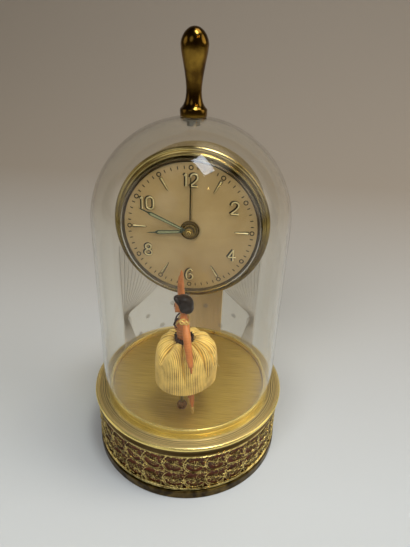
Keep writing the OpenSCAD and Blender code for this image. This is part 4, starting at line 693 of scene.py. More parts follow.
def drawn_wire(name, lines, wire, closed=False, sides=2):
    """Bends wire of the given radius in mm along lines of places in mm, then makes it a mesh."""
    curve = bpy.data.curves.new(name, "CURVE")
    curve.dimensions = "3D"
    curve.bevel_depth = wire * mm
    curve.bevel_resolution = sides
    curve.use_fill_caps = True
    for line in lines:
        spline = curve.splines.new("POLY")
        spline.points.add(len(line) - 1)
        for point, place in zip(spline.points, line):
            point.co = (*(Vector(place) * mm), 1)
        spline.use_cyclic_u = closed
    piece = bpy.data.objects.new(name, curve)
    bpy.context.scene.collection.objects.link(piece)
    choose(piece)
    bpy.ops.object.convert(target="MESH")
    return smoothed(closed_faces(bpy.context.object), 50)


def cut_plate(name, outline, low, high, bevel=0.0):
    """A flat plate cut to an outline of (x, y) places in mm, from low to high, with its edges rounded."""
    piece = new(bpy.ops.mesh.primitive_circle_add, vertices=len(outline), radius=mm, fill_type="NGON")
    piece.name = name
    for point, (x, y) in zip(piece.data.vertices, outline):
        point.co = (x * mm, y * mm, low * mm)
    edit()
    bpy.ops.mesh.extrude_region_move(TRANSFORM_OT_translate={"value": (0, 0, (high - low) * mm)})
    bpy.ops.mesh.select_all(action="SELECT")
    bpy.ops.mesh.normals_make_consistent(inside=False)
    leave()
    if bevel:
        worked(piece, "BEVEL", width=bevel * mm, segments=2, limit_method="ANGLE")
    return piece


# Base

gallery_low, gallery_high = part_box("gallery")
gallery_r = 57.0
gallery_z = gallery_low.z / mm
lower_border = 1.9
upper_border = 1.4
panel_h = gallery_high.z / mm - gallery_z - lower_border - upper_border
repeats = 30
panel_w = 2 * math.pi * gallery_r / repeats


def make_gallery():
    """One repeat of pierced and chased work, copied round the base, and the two milled borders."""
    y = -(gallery_r - 0.55)
    floor = gallery_z + lower_border
    rosette_r = panel_w * 0.27 - 0.36
    scroll_r = panel_w * 0.58
    pieces = []
    for share in (0.76, 0.24):
        z = floor + panel_h * share
        # Rosette: a roped ring, eight petals and a boss with a collar
        pieces.append(wire_bow((0, y, z), rosette_r, 0.42, 0, 360, 28, 6, 0.95))
        for k in range(14):
            a = 2 * math.pi * k / 14
            place = (rosette_r * math.cos(a), y - 0.28, z + rosette_r * math.sin(a))
            pieces.append(bead(place, (0.34, 0.3, 0.34)))
        for k in range(8):
            a = 2 * math.pi * (k + 0.5) / 8
            petal = bead((1.62, 0, 0), (0.72, 0.36, 0.34))
            petal.data.transform(
                Matrix.Translation((0, (y - 0.05) * mm, z * mm)) @ Matrix.Rotation(-a, 4, "Y"))
            pieces.append(petal)
        pieces.append(wire_bow((0, y - 0.1, z), 0.95, 0.2, 0, 360, 12, 5))
        pieces.append(bead((0, y - 0.25, z), (0.62, 0.5, 0.62), 2))
        # Scroll that sweeps over the rosette, with a second thin wire inside it and leaves along it
        pieces.append(wire_bow((0, y, z), scroll_r - 0.36, 0.27, -58, 118, 20, 5, 0.95))
        pieces.append(wire_bow((0, y - 0.1, z), scroll_r - 1.35, 0.2, -44, 104, 16, 5))
        for k, a_deg in enumerate(range(-40, 110, 25)):
            a = math.radians(a_deg)
            leaf = bead((scroll_r - 1.0 + 0.25 * (k % 2), 0, 0), (0.62, 0.3, 0.36))
            leaf.data.transform(
                Matrix.Translation((0, (y - 0.18) * mm, z * mm)) @ Matrix.Rotation(-a, 4, "Y"))
            pieces.append(leaf)
        # Diagonal bar with a bead at each end
        a = math.radians(-20)
        x0, x1 = (panel_w * reach * math.cos(a) for reach in (-0.46, 0.55))
        z0, z1 = (panel_w * reach * math.sin(a) for reach in (-0.46, 0.55))
        pieces.append(rod((x0, y - 0.05, z + z0), (x1, y - 0.05, z + z1), 0.36, 6, 0.9))
        for on in (0.02, 0.12, 0.88, 0.98):
            pieces.append(bead((x0 + (x1 - x0) * on, y - 0.3, z + z0 + (z1 - z0) * on), (0.42, 0.36, 0.42)))
    # Floret between four repeats, and small buds along both borders
    x, z = panel_w / 2, floor + panel_h / 2
    pieces.append(wire_bow((x, y, z), panel_w * 0.17 - 0.33, 0.36, 0, 360, 16, 6, 0.95))
    pieces.append(bead((x, y - 0.2, z), (0.6, 0.5, 0.6), 2))
    for k in range(5):
        a = 2 * math.pi * k / 5 + 0.3
        pieces.append(bead((x + 1.0 * math.cos(a), y - 0.15, z + 1.0 * math.sin(a)), (0.32, 0.32, 0.32)))
    for k in range(4):
        x = panel_w * (k / 4 - 0.375)
        pieces.append(bead((x, y, floor + 0.55), (0.62, 0.42, 0.7)))
        pieces.append(bead((x, y, floor + panel_h - 0.55), (0.62, 0.42, 0.7)))
    # Small curls and beads that fill the ground
    for k in range(40):
        cx, cz = random.uniform(-0.5, 0.5) * panel_w, floor + random.uniform(0.07, 0.93) * panel_h
        place = (cx, y - random.uniform(-0.1, 0.2), cz)
        pieces.append(bead(place, (random.uniform(0.24, 0.52), 0.4, random.uniform(0.24, 0.52))))
    for k in range(12):
        cx = (k % 4 / 4 - 0.375 + random.uniform(-0.05, 0.05)) * panel_w
        cz = floor + (0.2 + 0.3 * (k // 4)) * panel_h
        begin = random.uniform(0, 360)
        curl_r = random.uniform(0.9, 1.7)
        end = begin + random.uniform(150, 260)
        pieces.append(wire_bow((cx, y - 0.05, cz), curl_r, 0.24, begin, end, 9, 5))
    repeat = smoothed(joined("repeat", pieces), 60)
    copies = [repeat]
    for k in range(1, repeats):
        copies.append(copied(repeat, Matrix.Rotation(2 * math.pi * k / repeats, 4, "Z")))
    # Borders: rounded bands with a milled line
    for z0, high in ((gallery_z, lower_border), (gallery_z + lower_border + panel_h, upper_border)):
        inner, outer = gallery_r - 1.0, gallery_r + 0.25
        copies.append(turned("border", [
            (inner, z0), (outer - 0.35, z0), (outer, z0 + 0.25), (outer, z0 + high * 0.3),
            (outer - 0.3, z0 + high * 0.42), (outer - 0.05, z0 + high * 0.55),
            (outer - 0.05, z0 + high * 0.85), (outer - 0.35, z0 + high), (inner, z0 + high),
            (inner, z0)], 180))
    milled = smoothed(bead((0, -(gallery_r + 0.1), gallery_z + lower_border * 0.72), (0.8, 0.3, 0.42)), 60)
    copies.append(milled)
    for k in range(1, 180):
        copies.append(copied(milled, Matrix.Rotation(2 * math.pi * k / 180, 4, "Z")))
    whole = joined("pierced_gallery", copies)
    return finish_piece(whole, gallery_brass, "base", "gilt_brass", "gallery")


def make_cornice():
    """Spun in one with the ledge: flange, flat ring with a fine step, bead, cove and a narrow fillet."""
    low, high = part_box("cornice")
    lip, foot = high.x / mm, low.z / mm
    inner, ledge, sheet = 43.5, 40.0, 1.0
    bead_r = 1.2
    bx, bz = lip - bead_r, high.z / mm - bead_r
    under = bz - bead_r
    profile = [(inner, ledge - sheet), (inner, ledge)]
    # Grooves turned in the ledge: where each starts, its lowest place and its end
    for (r0, r1, r2), depth in (
            ((52.35, 52.65, 52.95), 0.45), ((53.5, 53.75, 54.0), 0.4), ((54.5, 54.7, 54.9), 0.35)):
        profile += [(r0, ledge), (r1, ledge - depth), (r2, ledge)]
    profile += [(55.2, ledge), (55.45, ledge - 0.3), (55.75, ledge - 0.05), (bx - 1.15, ledge + 0.02)]
    profile += arc(bx, bz, bead_r, 150, -80, 16)
    profile += [
        (bx - 0.35, under - 0.2), (lip - 1.9, under - 0.75), (lip - 2.35, under - 1.7),
        (lip - 2.25, under - 2.5), (lip - 1.7, foot + 0.85), (57.3, foot + 0.35), (57.3, foot),
        (55.4, foot), (55.4, ledge - sheet), (inner, ledge - sheet),
    ]
    piece = turned("spun_cornice", profile, 192, 30)
    return finish_piece(piece, spun, "base", "gilt_brass", "cornice")


def make_foot():
    """A plain band with rounded edges, and a step on top that the gallery stands on."""
    _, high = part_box("foot_ring")
    r, top = high.x / mm, high.z / mm
    wide, step, round_r = 3.2, top - 1.3, 0.6
    profile = [(r - wide, 0), (r - round_r, 0)] + arc(r - round_r, round_r, round_r, -90, 0, 4)[1:]
    profile += [(r - 0.05, 1.3), (r, 2.6), (r - 0.05, step - 0.9)]
    profile += arc(r - 0.65, step - round_r, round_r, 0, 90, 4)
    profile += [(r - 1.6, step), (r - 1.6, top), (r - wide, top), (r - wide, 0)]
    piece = turned("foot_band", profile, 192, 40)
    return finish_piece(piece, aged, "base", "dark_brass", "foot_ring")


def make_rim():
    """The upright rim that centres the dome, rounded on top."""
    low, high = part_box("stage_rim")
    r, z0, z1 = high.x / mm, low.z / mm, high.z / mm
    inner = r - 1.6
    profile = [(inner, z0), (r, z0), (r, z1 - 0.6)] + arc(r - 0.6, z1 - 0.6, 0.6, 0, 90, 5)[1:]
    profile += arc(inner + 0.45, z1 - 0.45, 0.45, 90, 180, 5) + [(inner, z0)]
    piece = turned("dome_rim", profile, 192, 40)
    return finish_piece(piece, spun, "base", "gilt_brass", "stage_rim")


def make_bush():
    """A turned bush with a round head, through which the dancer's spindle comes up."""
    low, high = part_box("spindle_bush")
    r, z0 = (high.x - low.x) / 2 / mm, low.z / mm
    hole, ball_r, ball_z = 0.95, 2.9, z0 + 5.0
    profile = [(hole, z0), (r, z0), (r, z0 + 0.5), (1.9, z0 + 0.9), (1.6, z0 + 1.8)]
    profile += arc(0, ball_z, ball_r, -56, 70, 16) + [(hole, z0)]
    piece = turned("bush_head", profile, 48, 50)
    piece.data.transform(Matrix.Translation(((low.x + high.x) / 2, (low.y + high.y) / 2, 0)))
    return finish_piece(piece, bush_brown, "base", "dark_brass", "spindle_bush")


make_gallery()
make_bush()
make_cornice()
make_foot()
make_rim()


# Clock head, modelled lying on its back and then set upright at its place

dial_middle = Matrix.Translation((0, dial_low.y, (dial_low.z + dial_high.z) / 2))
head_place = dial_middle @ Matrix.Rotation(math.pi / 2, 4, "X")


def on_head(piece):
    """Sets a piece upright on the head. Its z = 0 is the dial's face."""
    return put(piece, head_place)


def make_bezel():
    """Bead, step, rolled lip and the wall behind the lens."""
    low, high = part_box("bezel")
    r = (high.x - low.x) / 2 / mm
    bead_r = 1.4
    bx, bz = r - bead_r, -4.7
    profile = [(36.3, -5.1), (37.3, -5.1), (37.3, -1.9)] + arc(37.85, -1.95, 0.55, 180, 90, 4)
    profile += arc(38.15, -1.95, 0.55, 90, 0, 4) + [(38.7, -3.0), (38.85, -3.3)]
    profile += arc(bx, bz, bead_r, 125, -90, 16)
    profile += [(40.25, -6.5), (39.4, -6.5), (39.4, -8.4), (38.5, -8.4), (38.5, -5.1), (36.3, -5.1)]
    piece = on_head(turned("bezel_ring", profile, 192, 32))
    return finish_piece(piece, browned_gilt, "base", "gilt_brass", "bezel")


def make_lens():
    """A deep crystal with a short wall, a round shoulder and a low dome."""
    low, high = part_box("lens")
    r = (high.x - low.x) / 2 / mm
    front = -low.y / mm + dial_low.y / mm
    back = dial_low.y / mm - high.y / mm

    wall, shoulder_z, sweep = 0.6, 0.6, 70

    def side(radius, bottom, top, round_r):
        """One face of the crystal: upright wall, round shoulder, and the low dome as part of a big circle."""
        reach = radius - round_r * (1 - math.cos(math.radians(sweep)))
        foot = shoulder_z + round_r * math.sin(math.radians(sweep))
        rise = top - foot
        big = (reach * reach + rise * rise) / (2 * rise)
        spread = math.asin(reach / big)
        line = [(radius, bottom)] + arc(radius - round_r, shoulder_z, round_r, 0, sweep, 12)
        for i in range(1, 29):
            a = spread * (1 - i / 28)
            line.append((max(big * math.sin(a), 0), top - big + big * math.cos(a)))
        return line

    outer = side(r, back, front, 3.0)
    inner = side(r - wall, back, front - wall, 2.4)
    piece = on_head(turned("crystal", outer + inner[::-1] + [outer[0]], 160, 50))
    return finish_piece(piece, lens_clear, "base", "clear_lens", "lens")


def make_sight_ring():
    """A sloped ring that closes the gap between the dial's edge and the lens's wall."""
    piece = turned("sight_ring", [
        (35.05, -0.7), (36.3, -0.7), (36.3, 1.1), (36.05, 1.45), (35.8, 1.45), (35.3, 0.2), (35.05, 0.05),
        (35.05, -0.7)], 160, 50)
    return finish_piece(on_head(piece), band_brown, "base", "dark_brown")


def figure_lines():
    """Strokes of the rounded figures, as places in shares of their width and height."""
    return {
        "one": [[(-0.24, 0.36), (0, 0.5)], [(0, 0.5), (0, -0.5)]],
        "two": [
            [(-0.46, 0.24), (-0.34, 0.44), (0, 0.52), (0.36, 0.42), (0.42, 0.16), (0.1, -0.14),
             (-0.32, -0.38), (-0.48, -0.5)],
            [(-0.48, -0.5), (0.5, -0.5)],
        ],
        "four": [[(0.16, 0.5), (-0.5, -0.18)], [(-0.5, -0.18), (0.5, -0.18)], [(0.16, 0.5), (0.16, -0.5)]],
        "six": [
            [(0.4, 0.36), (0.08, 0.52), (-0.3, 0.32), (-0.46, -0.06), (-0.34, -0.42), (0, -0.52),
             (0.36, -0.4), (0.42, -0.14), (0.2, 0.04), (-0.12, 0.02)],
        ],
        "eight": [
            [(0, 0.04), (-0.32, 0.16), (-0.34, 0.4), (0, 0.52), (0.34, 0.4), (0.32, 0.16), (0, 0.04)],
            [(0, 0.04), (-0.42, -0.14), (-0.42, -0.4), (0, -0.52), (0.42, -0.4), (0.42, -0.14), (0, 0.04)],
        ],
        "zero": [
            [(-0.46, 0), (-0.4, 0.38), (0, 0.52), (0.4, 0.38), (0.46, 0), (0.4, -0.38), (0, -0.52),
             (-0.4, -0.38), (-0.46, 0)],
        ],
    }


def make_figures():
    """Stamped and gilded figures at the even hours and tapered batons at the odd ones."""
    width, height, figure_circle = 4.0, 6.1, 26.0
    baton_circle, half_long = 26.9, 3.4
    lines = figure_lines()
    shown = {0: ("one", "two"), 2: ("two",), 4: ("four",), 6: ("six",), 8: ("eight",), 10: ("one", "zero")}
    strokes = []
    for hour, figures in shown.items():
        a = math.radians(30 * hour)
        cx, cy = figure_circle * math.sin(a), figure_circle * math.cos(a)
        shifts = (0,) if len(figures) == 1 else (-width * 0.62, width * 0.38)
        for figure, shift in zip(figures, shifts):
            for line in lines[figure]:
                places = [(cx + shift + px * width, cy + py * height, 0.15) for px, py in line]
                strokes.append(smooth_line(places, 5) if len(places) > 2 else places)
    # Painted shadow: a wider dark wire under each stroke, set off to one side, and a dark plate under each
    # baton; a bright face on top
    sides = drawn_wire("figure_painted_shadow", strokes, 0.78)
    sides.data.transform(Matrix.Translation((-0.3 * mm, 0, 0)) @ Matrix.Diagonal((1, 1, 0.7, 1)))
    shadow_pieces = [sides]
    for hour in range(1, 12, 2):
        outline = both_sides([(0.1, 23.1), (0.42, 23.6), (0.92, 30.3), (0.7, 30.6)])
        foot = cut_plate("baton_painted_shadow", outline, 0.02, 0.16)
        foot.data.transform(Matrix.Rotation(-math.radians(30 * hour), 4, "Z"))
        shadow_pieces.append(foot)
    finish_piece(on_head(joined("figure_painted_shadow", shadow_pieces)), figure_painted_shadow, "base", "gilt_brass")
    pieces = [drawn_wire("figures", strokes, 0.4)]
    pieces[0].data.transform(Matrix.Translation((0.12 * mm, 0, 0.32 * mm)))
    for hour in range(1, 12, 2):
        baton = new(bpy.ops.mesh.primitive_cube_add, size=2 * mm)
        for point in baton.data.vertices:
            outer = point.co.y > 0
            half = 0.68 if outer else 0.24
            ridge = point.co.z > 0
            point.co.x = (math.copysign(0.06 if ridge else half, point.co.x) + 0.12) * mm
            point.co.y = (half_long if outer else -half_long) * mm * (0.97 if ridge else 1)
            point.co.z = (0.7 if ridge else 0.02) * mm
        edit()
        bpy.ops.mesh.bevel(offset=0.04 * mm, segments=1)
        leave()
        baton.data.transform(
            Matrix.Rotation(-math.radians(30 * hour), 4, "Z") @ Matrix.Translation((0, baton_circle * mm, 0)))
        pieces.append(baton)
    piece = on_head(joined("applied_figures", pieces))
    return finish_piece(piece, figure_faces, "base", "gilt_brass", "dial_numerals")


def make_print():
    """Printed minute marks: a stroke for each minute and a small ring at every fifth."""
    stroke_circle, ring_circle, ring_r = 32.3, 32.2, 1.02
    pieces = []
    lines = []
    for minute in range(60):
        a = math.radians(6 * minute)
        if minute % 5 == 0:
            lines.append(ring_line(ring_circle * math.sin(a), ring_circle * math.cos(a), ring_r, 20))
            continue
        mark = new(bpy.ops.mesh.primitive_cube_add, size=mm)
        mark.data.transform(
            Matrix.Rotation(-a, 4, "Z") @ Matrix.Translation((0, stroke_circle * mm, 0.03 * mm))
            @ Matrix.Diagonal((0.5, 1.6, 0.06, 1)))
        pieces.append(mark)
    rings = drawn_wire("rings", lines, 0.27, closed=True, sides=1)
    rings.data.transform(Matrix.Diagonal((1, 1, 0.3, 1)))
    pieces.append(rings)
    piece = on_head(joined("minute_print", pieces))
    return finish_piece(piece, print_black, "base", "hand_paint")


def hand_outline(length, shoulder, half, neck, eye):
    """A thin neck at the boss, a lance that widens to its shoulder, then a needle."""
    return both_sides([
        (neck, eye), (neck, eye + 1.4), (half * 0.72, eye + 2.6), (half, shoulder - 0.4),
        (half * 0.9, shoulder), (0.3, shoulder + 1.5), (0.24, length - 1.6), (0.02, length)])


def make_hand(name, length, shoulder, half, boss, hole, level, angle, node, body):
    """A pressed hand with a dark edge round a trough of pale green paint.

    Lengths are in mm from the arbor. level is the hand's height over the dial, boss and hole are radii.
    """
    outline = hand_outline(length, shoulder, half, 0.5, boss * 0.6)
    blade = cut_plate("blade", outline, level, level + 0.4, 0.07)
    ring = turned("boss", [
        (hole, level), (boss, level), (boss, level + 0.25), (boss - 0.2, level + 0.42),
        (boss - 0.5, level + 0.42), (boss - 0.7, level + 0.3), (hole + 0.1, level + 0.3),
        (hole, level)], 48, 60)
    turn = Matrix.Rotation(-math.radians(angle), 4, "Z")
    blade.data.transform(turn)
    whole = on_head(joined(name, [blade]))
    finish_piece(whole, hand_dark, body, "hand_paint", node)
    finish_piece(on_head(joined(name + "_boss", [ring])), hub_bronze, body, "hand_paint")
    inner = both_sides([
        (0.1, boss + 1.6), (half * 0.72 - 0.33, boss + 2.8), (half - 0.38, shoulder - 0.7),
        (0.12, shoulder + 0.1)])
    trough = cut_plate("trough", inner, level + 0.3, level + 0.46)
    trough.data.transform(turn)
    paint = on_head(joined(name + "_paint", [trough]))
    finish_piece(paint, lume, body, "hand_paint")


def make_alarm_hand():
    """A thin straight hand on a disc that is turned in steps."""
    blade = cut_plate("blade", both_sides([(0.34, 3), (0.3, 22), (0.2, 26.5), (0.02, 28.5)]), 1.0, 1.4, 0.06)
    disc = turned("disc", [
        (1.83, 1.0), (5.0, 1.0), (5.15, 1.1), (5.2, 1.3), (5.1, 1.5), (4.85, 1.58), (4.6, 1.5), (4.5, 1.36),
        (4.35, 1.36), (4.25, 1.5), (4.0, 1.6), (3.75, 1.5), (3.65, 1.4), (1.83, 1.4), (1.83, 1.0)], 72, 60)
    whole = on_head(joined("alarm_pointer", [blade, disc]))
    finish_piece(whole, hub_bronze, "alarm", "hand_paint", "alarm_hand")


def make_hub():
    """Cap over the hands, in steps."""
    low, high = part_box("hand_cap")
    z0, z1 = (dial_low.y - high.y) / mm, (dial_low.y - low.y) / mm
    piece = turned("hub_cap", [
        (0, z1 - 0.35), (0.72, z1 - 0.35), (0.72, z0), (1.9, z0), (1.9, z0 + 0.4), (1.7, z0 + 0.62),
        (1.25, z0 + 0.66), (1.15, z0 + 0.85), (1.15, z1 - 0.3), (0.9, z1), (0.45, z1), (0, z1 - 0.02),
        (0, z1 - 0.35)], 48, 50)
    return finish_piece(on_head(piece), hub_bronze, "minute", "dark_brass", "hand_cap")


make_bezel()
make_lens()
make_sight_ring()
make_figures()
make_print()
make_hand("minute_lance", 28.4, 22.0, 0.95, 2.5, 0.76, 4.25, 294, "minute_hand", "minute")
make_hand("hour_lance", 22.6, 16.8, 1.1, 3.4, 1.32, 2.8, 264.5, "hour_hand", "hour")
make_alarm_hand()
make_hub()


# Dancer, who stands on the spindle and looks along -X. Places are in mm from the spindle at the waist

waist = Matrix.Translation((0, -0.028, 0.0909))


def on_doll(piece):
    """Puts a piece at its place on the dancer."""
    piece.data.transform(waist)
    return piece


def chain(places, radii):
    """Balls along a smooth line, their size running from one radius to the next."""
    line = smooth_line(places, 8)
    balls = []
    for i, place in enumerate(line):
        t = i / (len(line) - 1) * (len(radii) - 1)
        k = min(int(t), len(radii) - 2)
        size = radii[k] + (radii[k + 1] - radii[k]) * (t - k)
        balls.append((tuple(place), (size, size, size)))
    return balls


def moulded(name, balls, voxel, rounds):
    """Presses balls and ovals together to one skin, then rubs it smooth."""
    pieces = [bead(place, size, 3 if max(size) > 1.2 else 2) for place, size in balls]
    whole = joined(name, pieces)
    worked(whole, "REMESH", mode="VOXEL", voxel_size=voxel * mm)
    worked(whole, "SMOOTH", iterations=rounds, factor=0.5)
    bpy.ops.object.shade_smooth()
    return on_doll(whole)


def make_doll():
    """The moulded figure: body with head, two arms, legs, shoes, hair, and a face painted on."""
    shoulders = chain([(0.5, -4.3, 11.4), (0.3, 0, 12.3), (0.5, 4.3, 11.4)], (1.6, 1.9, 1.6))
    neck = chain([(0.5, 0, 12), (0.3, 0, 16.6)], (1.75, 1.5))
    torso = [
        ((0.2, 0, -9.2), (3.3, 3.7, 2.6)), ((0.1, 0, -5.5), (3.8, 4.2, 4.2)), ((0, 0, 0), (3.1, 3.35, 3)),
        ((0, 0, 3.4), (3.2, 3.6, 3.2)), ((-0.1, 0, 7), (3.3, 4.1, 3.6)), ((0.3, 0, 9.8), (2.7, 4.2, 2.8)),
        ((-2.1, -1.8, 7.6), (1.9, 1.9, 1.9)), ((-2.1, 1.8, 7.6), (1.9, 1.9, 1.9)),
    ]
    # Skull, jaw, cheeks, chin, nose and lips
    head = [
        ((0.6, 0, 20.3), (4.0, 3.7, 4.3)), ((-1.6, 0, 20.4), (2.8, 3.0, 3.6)),
        ((-2.2, 0, 17.3), (1.9, 1.8, 1.8)),
        ((-1.8, -1.5, 18.4), (1.8, 1.5, 1.9)), ((-1.8, 1.5, 18.4), (1.8, 1.5, 1.9)),
        ((-3.5, 0, 16.0), (0.8, 0.9, 0.8)),
        ((-4.15, 0, 19.2), (0.55, 0.42, 0.8)), ((-4.6, 0, 18.7), (0.42, 0.4, 0.38)),
        ((-3.75, 0, 17.6), (0.55, 0.85, 0.3)), ((-3.7, 0, 17.1), (0.5, 0.7, 0.28)),
    ]
    body = moulded("doll_skin_body", torso + shoulders + neck + head, 0.2, 5)
    finish_piece(body, doll_skin, "dancer", "doll_skin", "doll_body")
    raised = chain(
        [(-0.4, 5.0, 11.4), (-2.1, 7.6, 22), (-2.2, 6.4, 31.0), (-1.7, 5.7, 34.4)],
        (1.9, 1.95, 1.85, 1.35, 0.8))
    raised += [
        ((-1.7, 5.5, 35.2), (0.85, 0.5, 1.2)), ((-1.7, 5.4, 36.2), (0.5, 0.4, 0.9)),
        ((-1.2, 5.4, 34.9), (0.4, 0.35, 0.8)),
    ]
    arm = moulded("doll_raised_arm", raised, 0.16, 3)
    finish_piece(arm, doll_skin, "dancer", "doll_skin", "raised_arm")
    hanging = chain(
        [(2.3, -5.2, 11.2), (4.2, -12.0, 5.2), (6.4, -17.2, -2.8), (7.0, -18.2, -5.0)],
        (2.0, 2.1, 1.9, 1.4, 0.85))
    hanging += [
        ((7.2, -18.6, -6.2), (0.8, 0.55, 1.2)), ((7.4, -18.9, -7.4), (0.5, 0.42, 0.9)),
        ((6.7, -18.7, -6.3), (0.4, 0.35, 0.8)),
    ]
    arm = moulded("doll_hanging_arm", hanging, 0.16, 3)
    finish_piece(arm, doll_skin, "dancer", "doll_skin", "hanging_arm")
    thigh_to_ankle = (2.3, 1.9, 1.55, 1.45, 1.05, 0.9)
    legs = chain([(2.0, -1.2, -10.5), (5.2, -3.0, -29), (6.3, -4.9, -39.5), (6.6, -5.5, -43)], thigh_to_ankle)
    legs += chain([(1.8, 1.6, -10.5), (4.2, 0.6, -28), (4.3, -0.6, -38), (4.3, -1.0, -41)], thigh_to_ankle)
    finish_piece(moulded("doll_legs_skin", legs, 0.18, 3), doll_skin, "dancer", "doll_skin", "doll_legs")
    shoes = [
        ((6.65, -5.6, -43.6), (0.95, 1.0, 1.2)), ((6.8, -5.95, -45.5), (0.9, 1.0, 1.6)),
        ((6.9, -6.2, -47.2), (0.7, 0.75, 1.1)), ((4.3, -1.05, -41.2), (0.95, 1.0, 1.2)),
        ((4.3, -1.3, -42.8), (0.9, 1.0, 1.5)), ((4.3, -1.6, -44.4), (0.7, 0.75, 1.1)),
    ]
    finish_piece(moulded("doll_shoes", shoes, 0.15, 3), gold_paint, "dancer", "doll_cloth")
    hair = [
        ((1.25, 0, 20.9), (4.3, 4.4, 4.5)), ((2.5, 0, 18.4), (3.1, 3.9, 3.0)),
        ((0.2, 0, 23.6), (3.6, 3.6, 2.0)),
        ((0.6, -3.2, 19.6), (1.9, 1.1, 2.6)), ((0.6, 3.2, 19.6), (1.9, 1.1, 2.6)),
    ]
    hair += chain(
        [(-1.6, -3.0, 21.9), (-3.3, -1.6, 23.6), (-3.7, 0.2, 23.8), (-3.0, 2.2, 23.4), (-1.4, 3.2, 21.8)],
        (0.8, 1.1, 1.2, 1.0, 0.7))
    finish_piece(moulded("doll_hair_cap", hair, 0.2, 4), doll_hair, "dancer", "doll_hair", "doll_hair")
    features = []
    for side in (-1, 1):
        features.append(bead((-3.95, side * 1.45, 19.9), (0.3, 0.62, 0.3), 2))
        features.append(bead((-4.05, side * 1.5, 20.9), (0.25, 0.85, 0.12), 2))
    paint = on_doll(joined("doll_eyes", features))
    finish_piece(smoothed(paint, 80), doll_hair, "dancer", "doll_hair")
    upper = bead((-4.22, 0, 17.58), (0.24, 0.72, 0.2), 2)
    lower = bead((-4.1, 0, 17.2), (0.22, 0.55, 0.17), 2)
    lips = on_doll(joined("doll_lips", [upper, lower]))
    finish_piece(smoothed(lips, 80), lip_red, "dancer", "doll_skin")


def along(row, t):
    """A smooth value between the values of a row, t from 0 to 1."""
    t = min(max(t, 0), 1) * (len(row) - 1)
    k = min(int(t), len(row) - 2)
    values = [row[max(0, min(len(row) - 1, k + step))] for step in (-1, 0, 1, 2)]
    return between(*values, t - k)


def make_skirt():
    """A ribbed ribbon gathered at the waist: puffed folds with sharp valleys, and a straight lower band."""
    around, down = 400, 72
    radii = [4.7, 6.4, 9.6, 12.8, 15.0, 16.2, 16.7, 16.9, 16.9, 16.8, 16.8]
    drops = [1.6, 0.9, 1.1, 2.6, 5.0, 8.0, 11.5, 15.0, 18.4, 21.8, 25.2]
    folds = 13
    widths = [random.uniform(0.55, 1.5) for _ in range(folds)]
    starts = [sum(widths[:k]) / sum(widths) for k in range(folds + 1)]
    depths = [random.uniform(0.65, 1.25) for _ in range(folds)]
    reach = [random.choice((0.42, 0.55, 0.7, 0.8)) for _ in range(folds)]
    piece = new(bpy.ops.mesh.primitive_grid_add, x_subdivisions=around, y_subdivisions=down,
                size=2 * mm, calc_uvs=True)
    piece.name = "gathered_skirt"
    flat = {}
    for point in piece.data.vertices:
        u, v = (point.co.x / mm + 1) / 2, (1 - point.co.y / mm) / 2
        flat[point.index] = (u, v)
        radius, drop = along(radii, v), along(drops, v)
        # The folds lean a little as they run down
        turn = (u + 0.03 * v * math.sin(4 * math.pi * u + 0.7) - 0.02 * v) % 1
        k = max(i for i in range(folds) if starts[i] <= turn)
        t = (turn - starts[k]) / (starts[k + 1] - starts[k])
        after = (k + 1) % folds
        puff = math.sin(math.pi * t) ** 0.6
        fade = [max(0.0, 1 - v / reach[i]) ** 0.8 * depths[i] for i in (k, after)]
        held = fade[0] * (1 - t) + fade[1] * t
        open_out = min(v / 0.28, 1)
        size = min(1.25, 0.55 + 6 * (starts[k + 1] - starts[k]))
        radius += ((puff - 1) * 6.2 + 0.8 * puff) * held * size * (0.14 + 0.86 * open_out)
        drop -= ((puff - 1) * 3.4 + 1.3 * puff) * held * size * min(v / 0.12, 1) * max(0.25, 1 - v)
        angle = 2 * math.pi * u
        # It stands higher at the back than in front
        drop -= 0.9 * math.cos(angle) * min(v * 3, 1)
        low_part = min(v * 2, 1)
        radius += low_part * (0.3 * math.sin(3 * angle + 1) + 0.2 * math.sin(5 * angle + 2.2))
        # Scallops that the ribs give the hem, 1.7 mm apart
        drop += 0.22 * max(0, v - 0.93) / 0.07 * abs(math.sin(31 * angle))
        shift = 1.0 + 0.7 * low_part
        point.co = ((radius * math.cos(angle) + shift) * mm, radius * math.sin(angle) * mm, -drop * mm)
    layer = piece.data.uv_layers.active
    for face in piece.data.polygons:
        for corner in face.loop_indices:
            u, v = flat[piece.data.loops[corner].vertex_index]
            # The flat ribbon in units of 10 mm
            layer.data[corner].uv = (u * 11.6, v * 3.4)
    closed_faces(on_doll(piece))
    worked(piece, "SOLIDIFY", thickness=0.22 * mm, offset=-1)
    bpy.ops.object.shade_smooth()
    finish_piece(piece, ribs_yellow, "dancer", "doll_cloth", "skirt")
    # A thread that has come loose at the back
    line = smooth_line([(14.2, -6.5, -2.2), (17.0, -7.0, -4.6), (18.8, -7.4, -8.2), (20.4, -7.6, -11.4)])
    thread = drawn_wire("loose_thread", [line], 0.2, sides=1)
    finish_piece(on_doll(thread), ribbon, "dancer", "doll_cloth")


